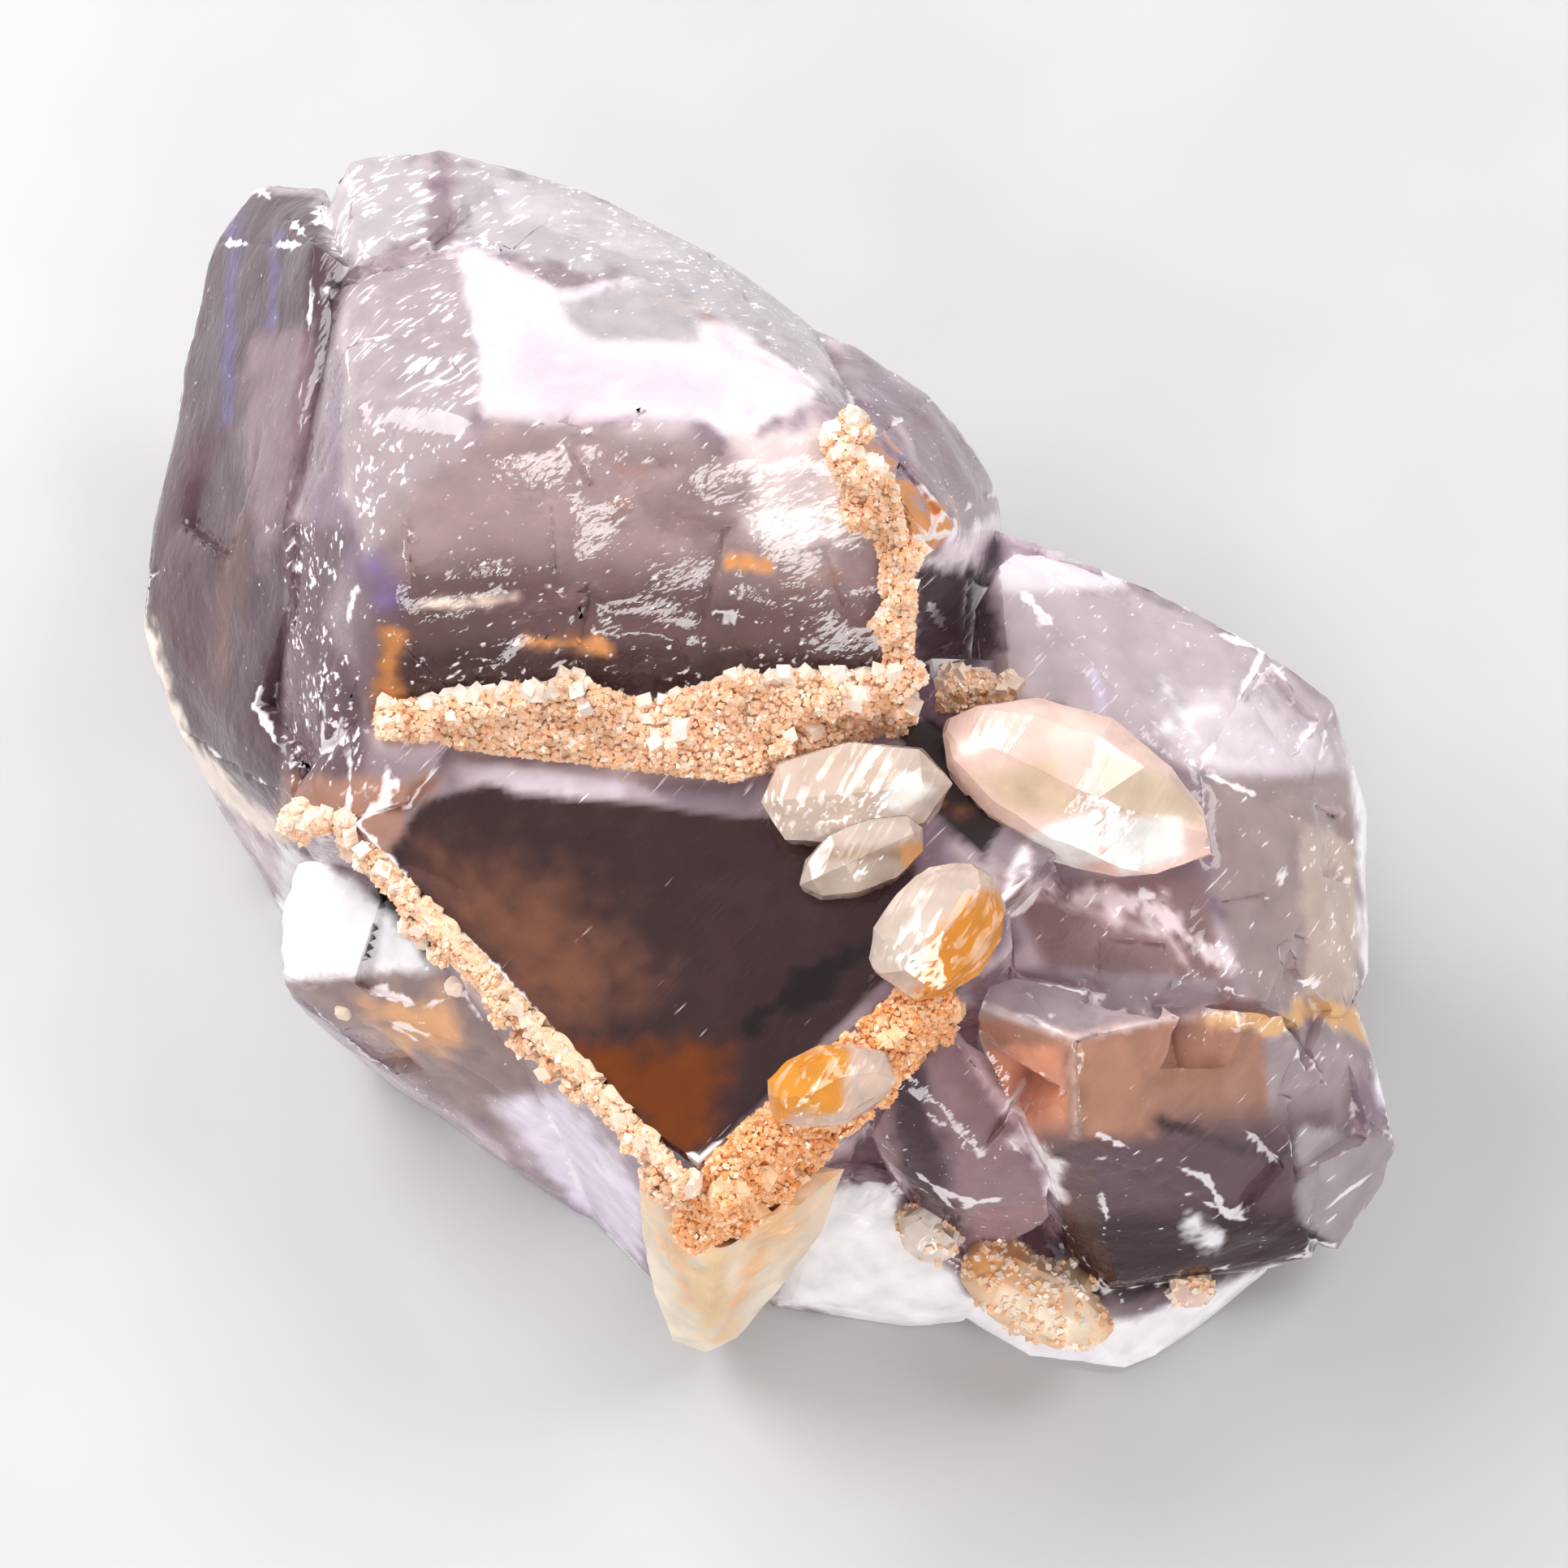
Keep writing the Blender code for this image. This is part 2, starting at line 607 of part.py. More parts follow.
def band(stations, facing):
    """Convex links along a crust on a cube's side, each from one station to the next."""
    links = []
    for first, second in zip(stations, stations[1:]):
        along = (second[0] - first[0]).normalized()
        across = facing.cross(along).normalized()
        points = []
        for centre, half_width, thickness in (first, second):
            for side in (-1, 1):
                edge = centre + across * side * half_width
                shoulder = centre + across * side * half_width * SHOULDER
                points.append(edge - facing * thickness / 2)
                points.append(edge + facing * thickness / 2 * SHOULDER)
                points.append(shoulder + facing * thickness / 2)
        links.append(hull(points))
    return links


def grains(stations, facing, rng):
    """Small rhombs strewn over a crust on a cube's side and fused to it."""
    found = []
    for first, second in zip(stations, stations[1:]):
        run = second[0] - first[0]
        across = facing.cross(run).normalized()
        width = first[1] + second[1]
        count = max(2, round(run.length * width / MM / MM * GRAINS_PER_MM2))
        for _ in range(count):
            t = rng.random()
            side = rng.uniform(-1, 1)
            half_width = first[1] + (second[1] - first[1]) * t
            thickness = first[2] + (second[2] - first[2]) * t
            rise = thickness / 2 * (1 - BAND_CROWN * side * side)
            place = first[0].lerp(second[0], t) + across * side * half_width + facing * rise
            found.append(grain(place, rng))
    return found


def ledge_crust(ground, rng):
    return [crystal for rows in LEDGE_BANDS for crystal in laid_crust(ground, rows, rng)]


def side_crust(rows, direction, facing, thickness, rng):
    """A crust on the dark cube's side that faces one way, below the edge that runs another."""
    direction = dark_cube_turn() @ Vector(direction)
    facing = dark_cube_turn() @ Vector(facing)
    start = dark_cube_corner() + facing * thickness / 2
    stations = [
        (start + (direction * length - Vector((0, 0, drop))) * MM, half_height * MM, thickness)
        for length, drop, half_height in rows
    ]
    return band(stations, facing) + grains(stations, facing, rng)


# Calcite crystals


def calcite(ground, start, end, lift, width, depth, sides, rings, rng):
    """A blunt, many-faced crystal that lies on the ground between two points as seen."""
    first, last = ground.point(*start, 0), ground.point(*end, 0)
    middle = ground.point((start[0] + end[0]) / 2, (start[1] + end[1]) / 2, lift)
    slope = (last - first).normalized()
    level = Vector((end[0] - start[0], 0, 0)) * MM + (end[1] - start[1]) * MM * UPWARD
    along = level.normalized().lerp(slope, CALCITE_SLOPE_SHARE).normalized()
    length = level.length
    across = along.cross(AHEAD).normalized()
    out = across.cross(along)
    frame = Matrix((across, out, along)).transposed()
    bm = bmesh.new()
    bmesh.ops.create_uvsphere(bm, u_segments=sides, v_segments=rings, radius=1)
    size = Vector((width * MM / 2, depth * MM / 2, length / 2))
    points = []
    for vert in bm.verts:
        nudge = [1 + rng.uniform(-CALCITE_JITTER, CALCITE_JITTER) for _ in range(3)]
        points.append(middle + frame @ Vector([vert.co[i] * nudge[i] * size[i] for i in range(3)]))
    bm.free()
    return hull(points)


def main():
    clear_scene()
    specimen = Specimen()
    rng = random.Random(FLUORITE_SEED)
    specimen.add("fluorite_cluster", fluorite_crystals(rng), lambda ground: cleavage_steps(ground, rng))
    ground = specimen.ground
    specimen.add("druse_ledge", ledge_crust(ground, random.Random(LEDGE_SEED)))
    specimen.add("druse_saddle", laid_crust(ground, SADDLE_BAND, random.Random(SADDLE_SEED)))
    rng = random.Random(LEFT_EDGE_SEED)
    left_edge = side_crust(LEFT_EDGE_ROWS, (0, 1, 0), (-1, 0, 0), LEFT_EDGE_THICKNESS, rng)
    specimen.add("druse_left_edge", left_edge)
    specimen.add("druse_lip", laid_crust(ground, LIP_BAND, random.Random(LIP_SEED)))
    rng = random.Random(RIGHT_EDGE_SEED)
    right_edge = side_crust(RIGHT_EDGE_ROWS, (1, 0, 0), (0, -1, 0), RIGHT_EDGE_THICKNESS, rng)
    specimen.add("druse_right_edge", right_edge)
    specimen.add("calcite_foot", [hull([seen(*corner) for corner in CALCITE_FOOT])])
    for number, (name, shapes) in enumerate(CALCITES.items()):
        rng = random.Random(FIRST_CALCITE_SEED + number)
        specimen.add(name, [calcite(ground, *shape, rng) for shape in shapes])
    specimen.centre()


main()
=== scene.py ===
"""Looks of the fluorite cluster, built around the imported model.

Picture coordinates are pixels of the square photograph, x to the right and y down. They place
the zones of colour and the inner fractures, which are then carried onto the crystals along the
camera's rays, so that they lie on or in the mineral seen from any side.
"""

import json
import math
import random
from typing import NamedTuple

import bmesh
import bpy
import numpy as np
from mathutils import Matrix, Quaternion, Vector, noise
from mathutils.bvhtree import BVHTree
from mathutils.geometry import delaunay_2d_cdt
from mathutils.kdtree import KDTree


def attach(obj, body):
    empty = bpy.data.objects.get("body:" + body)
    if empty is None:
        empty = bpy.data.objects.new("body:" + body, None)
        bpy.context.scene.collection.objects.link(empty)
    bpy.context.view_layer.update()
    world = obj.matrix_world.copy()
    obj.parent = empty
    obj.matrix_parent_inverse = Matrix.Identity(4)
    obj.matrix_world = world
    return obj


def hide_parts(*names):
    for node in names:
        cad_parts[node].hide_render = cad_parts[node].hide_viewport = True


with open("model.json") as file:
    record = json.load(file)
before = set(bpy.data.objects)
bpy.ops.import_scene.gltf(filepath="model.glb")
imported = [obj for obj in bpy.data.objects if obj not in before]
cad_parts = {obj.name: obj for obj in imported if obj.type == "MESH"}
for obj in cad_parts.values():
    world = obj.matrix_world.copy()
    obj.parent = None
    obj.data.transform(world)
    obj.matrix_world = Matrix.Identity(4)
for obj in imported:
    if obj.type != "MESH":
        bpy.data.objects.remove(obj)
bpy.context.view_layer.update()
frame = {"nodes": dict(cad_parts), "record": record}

MM = 0.001
BODY = "root"

# The photograph's view of the cluster
PICTURE_SIDE = 1932
PICTURE_MIDDLE = PICTURE_SIDE / 2
PIXEL = 0.035 * MM
VIEW_ELEVATION = math.radians(66)
VIEW_DISTANCE = 260 * MM
VIEW_CENTRE = Vector((1.07, -3.45, 15.0)) * MM
SENSOR_WIDTH = 36.0
RIGHT = Vector((1, 0, 0))
AHEAD = Vector((0, math.cos(VIEW_ELEVATION), -math.sin(VIEW_ELEVATION)))
UPWARD = Vector((0, math.sin(VIEW_ELEVATION), math.cos(VIEW_ELEVATION)))
EYE = VIEW_CENTRE - AHEAD * VIEW_DISTANCE

# Meshes
MERGE_DISTANCE = 0.002 * MM
FLAT_ANGLE = math.radians(0.5)
SHARP_ANGLE = math.radians(11)
REFINE_PASSES = 7
CONTACT_REACH = 0.6 * MM
CONTACT_DEPTH = 0.12 * MM


def to_linear(value):
    value /= 255
    return value / 12.92 if value <= 0.04045 else ((value + 0.055) / 1.055) ** 2.4


def colour(red, green, blue):
    """A linear colour from the red, green and blue that a screen shows, 0 to 255."""
    return np.array([to_linear(red), to_linear(green), to_linear(blue)])


# Camera, floor and light


def view_ray(x, y):
    spot = VIEW_CENTRE + RIGHT * (x - PICTURE_MIDDLE) * PIXEL + UPWARD * (PICTURE_MIDDLE - y) * PIXEL
    return (spot - EYE).normalized()


def picture_places(points):
    """The picture coordinates of an array of points."""
    away = points - np.array(EYE)
    scale = VIEW_DISTANCE / PIXEL / (away @ np.array(AHEAD))
    x = PICTURE_MIDDLE + away @ np.array(RIGHT) * scale
    y = PICTURE_MIDDLE - away @ np.array(UPWARD) * scale
    return np.stack([x, y], axis=1)


def add_camera():
    data = bpy.data.cameras.new("camera")
    data.sensor_width = SENSOR_WIDTH
    data.lens = SENSOR_WIDTH * VIEW_DISTANCE / (PICTURE_SIDE * PIXEL)
    data.clip_start = 10 * MM
    data.clip_end = 10
    camera = bpy.data.objects.new("camera", data)
    camera.matrix_world = Matrix.Translation(EYE) @ Matrix((RIGHT, UPWARD, -AHEAD)).transposed().to_4x4()
    bpy.context.scene.collection.objects.link(camera)
    bpy.context.scene.camera = camera


def add_softbox(name, place, aim, width, height, brightness, tint=(1, 1, 1)):
    """A large area light of the given brightness, seen as such by reflections."""
    data = bpy.data.lights.new(name, "AREA")
    data.shape = "RECTANGLE"
    data.size = width
    data.size_y = height
    data.energy = brightness * width * height * math.pi
    data.color = tint
    lamp = bpy.data.objects.new(name, data)
    lamp.location = place
    lamp.rotation_euler = (Vector(place) - Vector(aim)).to_track_quat("Z", "Y").to_euler()
    bpy.context.scene.collection.objects.link(lamp)


FLOOR_DROP = 0.05 * MM
SKY_TOP = 0.42
SKY_SIDE = 0.6
SOFTBOXES = {
    "softbox_back_left": ((-170, 110, 190), 190, 130, 9.5),
    "softbox_top_right": ((140, 60, 240), 110, 110, 7.0),
    "softbox_front_low": ((40, -210, 120), 90, 45, 14.0),
}


def add_light():
    world = bpy.data.worlds.new("studio")
    world.use_nodes = True
    bpy.context.scene.world = world
    tree = world.node_tree
    background = tree.nodes["Background"]
    place = tree.nodes.new("ShaderNodeTexCoord")
    split = tree.nodes.new("ShaderNodeSeparateXYZ")
    ramp = tree.nodes.new("ShaderNodeValToRGB")
    tree.links.new(place.outputs["Generated"], split.inputs[0])
    tree.links.new(split.outputs["Z"], ramp.inputs[0])
    tree.links.new(ramp.outputs["Color"], background.inputs["Color"])
    ramp.color_ramp.elements[0].color = (SKY_SIDE, SKY_SIDE, SKY_SIDE, 1)
    ramp.color_ramp.elements[1].color = (SKY_TOP, SKY_TOP, SKY_TOP, 1)
    aim = VIEW_CENTRE
    for name, (place, width, height, brightness) in SOFTBOXES.items():
        add_softbox(name, Vector(place) * MM, aim, width * MM, height * MM, brightness)
    scene = bpy.context.scene
    scene.view_settings.view_transform = "Standard"


def add_floor():
    bm = bmesh.new()
    bmesh.ops.create_grid(bm, x_segments=2, y_segments=2, size=1.5)
    bmesh.ops.translate(bm, verts=bm.verts, vec=(0, 0, -FLOOR_DROP))
    data = bpy.data.meshes.new("floor")
    bm.to_mesh(data)
    bm.free()
    floor = bpy.data.objects.new("floor", data)
    bpy.context.scene.collection.objects.link(floor)
    made = Painted("floor")
    shade = made.pattern("ShaderNodeTexNoise", scale=90, detail=1)
    made.shader.inputs["Roughness"].default_value = 0.7
    ramp = made.ramp(shade, [(0.3, (0.58, 0.575, 0.58)), (0.7, (0.61, 0.605, 0.61))])
    made.link(ramp, "Base Color")
    floor.data.materials.append(made.material)


# Materials


class Painted:
    """A material under construction, with short ways to add and join its nodes."""

    def __init__(self, name):
        self.material = bpy.data.materials.new(name)
        self.material.use_nodes = True
        self.tree = self.material.node_tree
        self.shader = self.tree.nodes["Principled BSDF"]
        self.output = self.tree.nodes["Material Output"]
        self.place = self.add("ShaderNodeTexCoord").outputs["Object"]

    def add(self, kind):
        return self.tree.nodes.new(kind)

    def join(self, source, target):
        self.tree.links.new(source, target)

    def link(self, source, name):
        self.join(source, self.shader.inputs[name])

    def set(self, **values):
        for name, value in values.items():
            self.shader.inputs[name.replace("_", " ")].default_value = value

    def pattern(self, kind, scale, stretch=(1, 1, 1), turn=(0, 0, 0), **values):
        """A texture in the object's own metres, stretched along turned axes."""
        texture = self.add(kind)
        mapping = self.add("ShaderNodeMapping")
        mapping.vector_type = "TEXTURE"
        mapping.inputs["Scale"].default_value = stretch
        mapping.inputs["Rotation"].default_value = [math.radians(angle) for angle in turn]
        self.join(self.place, mapping.inputs["Vector"])
        self.join(mapping.outputs["Vector"], texture.inputs["Vector"])
        texture.inputs["Scale"].default_value = scale
        for name, value in values.items():
            texture.inputs[name.replace("_", " ").capitalize()].default_value = value
        return texture.outputs["Fac"] if "Fac" in texture.outputs else texture.outputs["Distance"]

    def attribute(self, name, output="Fac"):
        node = self.add("ShaderNodeAttribute")
        node.attribute_name = name
        return node.outputs[output]

    def ramp(self, source, stops):
        node = self.add("ShaderNodeValToRGB")
        elements = node.color_ramp.elements
        while len(elements) < len(stops):
            elements.new(0.5)
        for element, (place, value) in zip(elements, stops):
            element.position = place
            element.color = (*value, 1) if hasattr(value, "__len__") else (value, value, value, 1)
        self.join(source, node.inputs[0])
        return node.outputs["Color"]

    def maths(self, operation, first, second):
        node = self.add("ShaderNodeMath")
        node.operation = operation
        for socket, value in zip(node.inputs, (first, second)):
            if isinstance(value, (int, float)):
                socket.default_value = value
            else:
                self.join(value, socket)
        return node.outputs[0]

    def blend(self, kind, share, first, second):
        node = self.add("ShaderNodeMix")
        node.data_type = "RGBA"
        node.blend_type = kind
        sockets = (node.inputs["Factor"], node.inputs[6], node.inputs[7])
        for socket, value in zip(sockets, (share, first, second)):
            if isinstance(value, (int, float)):
                socket.default_value = value
            elif isinstance(value, (tuple, np.ndarray)):
                socket.default_value = (*value, 1)
            else:
                self.join(value, socket)
        return node.outputs[2]

    def bump(self, heights, distance):
        """Bump from (height, strength) pairs, one on top of the other."""
        normal = None
        for height, strength in heights:
            node = self.add("ShaderNodeBump")
            node.inputs["Strength"].default_value = strength
            node.inputs["Distance"].default_value = distance
            self.join(height, node.inputs["Height"])
            if normal is not None:
                self.join(normal, node.inputs["Normal"])
            normal = node.outputs["Normal"]
        self.link(normal, "Normal")

    def absorb(self, tint, density):
        node = self.add("ShaderNodeVolumeAbsorption")
        node.inputs["Color"].default_value = (*tint, 1)
        node.inputs["Density"].default_value = density
        self.join(node.outputs[0], self.output.inputs["Volume"])


def fluorite_material():
    """Clear fluorite: zones of tint and clearness from the mesh, cleavage lines, white scratch marks that are
    partly painted glints, and whitened edges that are partly a painted edge highlight.
    """
    made = Painted("fluorite")
    made.set(IOR=1.434)
    tint = made.attribute("tint", "Color")
    clearness = made.attribute("clearness")
    haze = made.attribute("haze")
    marks = made.attribute("marks")
    dashes = made.pattern("ShaderNodeTexNoise", 3600, (11, 1, 1), (0, 0, 48), detail=2)
    # White marks: partly fine scratch lines, partly painted glints
    scratch_and_glint_field = made.maths("ADD", dashes, made.maths("MULTIPLY", marks, 0.13))
    scratches_and_glints = made.ramp(scratch_and_glint_field, [(0.72, 0), (0.80, 1)])
    frayed = made.pattern("ShaderNodeTexNoise", 1500, (3, 1, 1), (0, 0, 48), detail=2)
    # Whitened edges: partly chipped frosting of worn edges, partly a painted edge highlight
    near_edge = made.maths("ADD", made.maths("MULTIPLY", frayed, 0.7), made.attribute("wear_and_edge_highlight"))
    edges = made.ramp(near_edge, [(0.55, 0), (0.65, 0.9)])
    marked = made.maths("MAXIMUM", scratches_and_glints, edges)
    base = made.blend("MIX", made.maths("MULTIPLY", marked, 0.85), tint, (0.98, 0.93, 0.95))
    made.link(base, "Base Color")
    clear = made.maths("SUBTRACT", clearness, made.maths("MULTIPLY", marked, 0.6))
    made.link(clear, "Transmission Weight")
    made.link(haze, "Roughness")
    made.bump([(frayed, 0.4), (dashes, 0.2)], 0.12 * MM)
    made.absorb((0.60, 0.34, 0.40), 12)
    return made.material


def veil_material():
    """A healed fracture inside the crystal: silky white with a pink cast."""
    made = Painted("veil")
    made.set(IOR=1.434, Transmission_Weight=0.15)
    ripples = made.pattern("ShaderNodeTexNoise", 420, (3, 1, 1), (0, 0, 35), detail=5)
    fine = made.pattern("ShaderNodeTexNoise", 1800, detail=3)
    tint = made.ramp(ripples, [(0.35, colour(214, 190, 205)), (0.6, colour(252, 246, 250))])
    made.link(tint, "Base Color")
    made.link(made.ramp(fine, [(0.3, 0.18), (0.7, 0.42)]), "Roughness")
    made.bump([(ripples, 0.6), (fine, 0.2)], 0.1 * MM)
    return made.material


def sugar_material():
    """Sugary calcite: sparkling grains, each with its own tint from the mesh."""
    made = Painted("sugary_calcite")
    made.set(IOR=1.6, Transmission_Weight=0.08)
    fine = made.pattern("ShaderNodeTexNoise", 2600, detail=3)
    broad = made.pattern("ShaderNodeTexNoise", 320, detail=4)
    tint = made.attribute("tint", "Color")
    shades = made.ramp(broad, [(0.3, (0.98, 0.92, 0.86)), (0.7, (1.15, 1.15, 1.15))])
    base = made.blend("MULTIPLY", 1.0, tint, shades)
    made.link(base, "Base Color")
    made.link(made.ramp(fine, [(0.35, 0.12), (0.7, 0.4)]), "Roughness")
    made.bump([(fine, 0.25)], 0.05 * MM)
    return made.material


def calcite_material():
    """Clear to milky calcite crystals, with striations and fine growth marks."""
    made = Painted("calcite")
    made.set(IOR=1.56)
    tint = made.attribute("tint", "Color")
    clearness = made.attribute("clearness")
    haze = made.attribute("haze")
    clouds = made.pattern("ShaderNodeTexNoise", 380, detail=6)
    lines = made.pattern("ShaderNodeTexNoise", 3200, (16, 1, 1), (0, 0, 62), detail=1)
    line_mask = made.maths("MULTIPLY", made.ramp(lines, [(0.54, 0), (0.60, 1)]), made.attribute("marks"))
    shades = made.ramp(clouds, [(0.3, (0.84, 0.80, 0.76)), (0.7, (1.1, 1.1, 1.08))])
    base = made.blend("MULTIPLY", 1.0, tint, shades)
    base = made.blend("MIX", line_mask, base, (0.96, 0.95, 0.92))
    made.link(base, "Base Color")
    murky = made.ramp(clouds, [(0.35, 0.75), (0.65, 1.0)])
    clear = made.maths("SUBTRACT", clearness, made.maths("MULTIPLY", line_mask, 0.6))
    made.link(made.maths("MULTIPLY", clear, murky), "Transmission Weight")
    made.link(made.maths("ADD", haze, made.maths("MULTIPLY", clouds, 0.08)), "Roughness")
    made.bump([(lines, 0.3), (clouds, 0.2)], 0.1 * MM)
    made.absorb((0.95, 0.78, 0.66), 12)
    return made.material


def heart_material():
    """The bright orange heart of the clear crystals, swirled and glassy."""
    made = Painted("orange_heart")
    made.set(IOR=1.6, Transmission_Weight=0.1, Roughness=0.2)
    swirls = made.pattern("ShaderNodeTexNoise", 900, (2, 1, 1), (0, 0, 50), detail=3, distortion=1.5)
    stops = [(0.35, colour(240, 112, 8)), (0.55, colour(255, 160, 40)), (0.7, colour(255, 214, 140))]
    base = made.ramp(swirls, stops)
    made.link(base, "Base Color")
    made.bump([(swirls, 0.5)], 0.1 * MM)
    return made.material


def ochre_material():
    """Iron-stained inclusions inside the crystals."""
    made = Painted("ochre")
    fine = made.pattern("ShaderNodeTexNoise", 900, detail=6)
    made.link(made.ramp(fine, [(0.3, colour(168, 92, 34)), (0.7, colour(240, 172, 96))]), "Base Color")
    made.link(made.ramp(fine, [(0.3, 0.7), (0.7, 0.4)]), "Roughness")
    made.bump([(fine, 0.5)], 0.1 * MM)
    return made.material


# Zones of colour


class Zone(NamedTuple):
    """An area or streak of the photograph and the look of the mineral there."""

    points: list
    tint: tuple
    clearness: float = 0.85
    haze: float = 0.06
    marks: float = 0.3
    feather: float = 12
    ragged: float = 6
    width: float = 0


SOFTEST_STEP = 14
THINNED = 0.75
CLOUDS = 0.16
FLUORITE_LOOK = Zone([], (214, 180, 194), 0.72, 0.06, 0.5)
MILKY_FLUORITE_LOOK = Zone([], (238, 210, 218), 0.38, 0.1, 0.6)
VIOLET_FLUORITE_LOOK = Zone([], (158, 122, 150), 0.66, 0.06, 0.4)
BROAD_CLOUDS = 5.5 * MM
FADE_PASSES = 9
STAR_MIDDLE = (1455, 880)
STAR_TIPS = [(1432, 838), (1500, 872), (1478, 915), (1425, 905)]

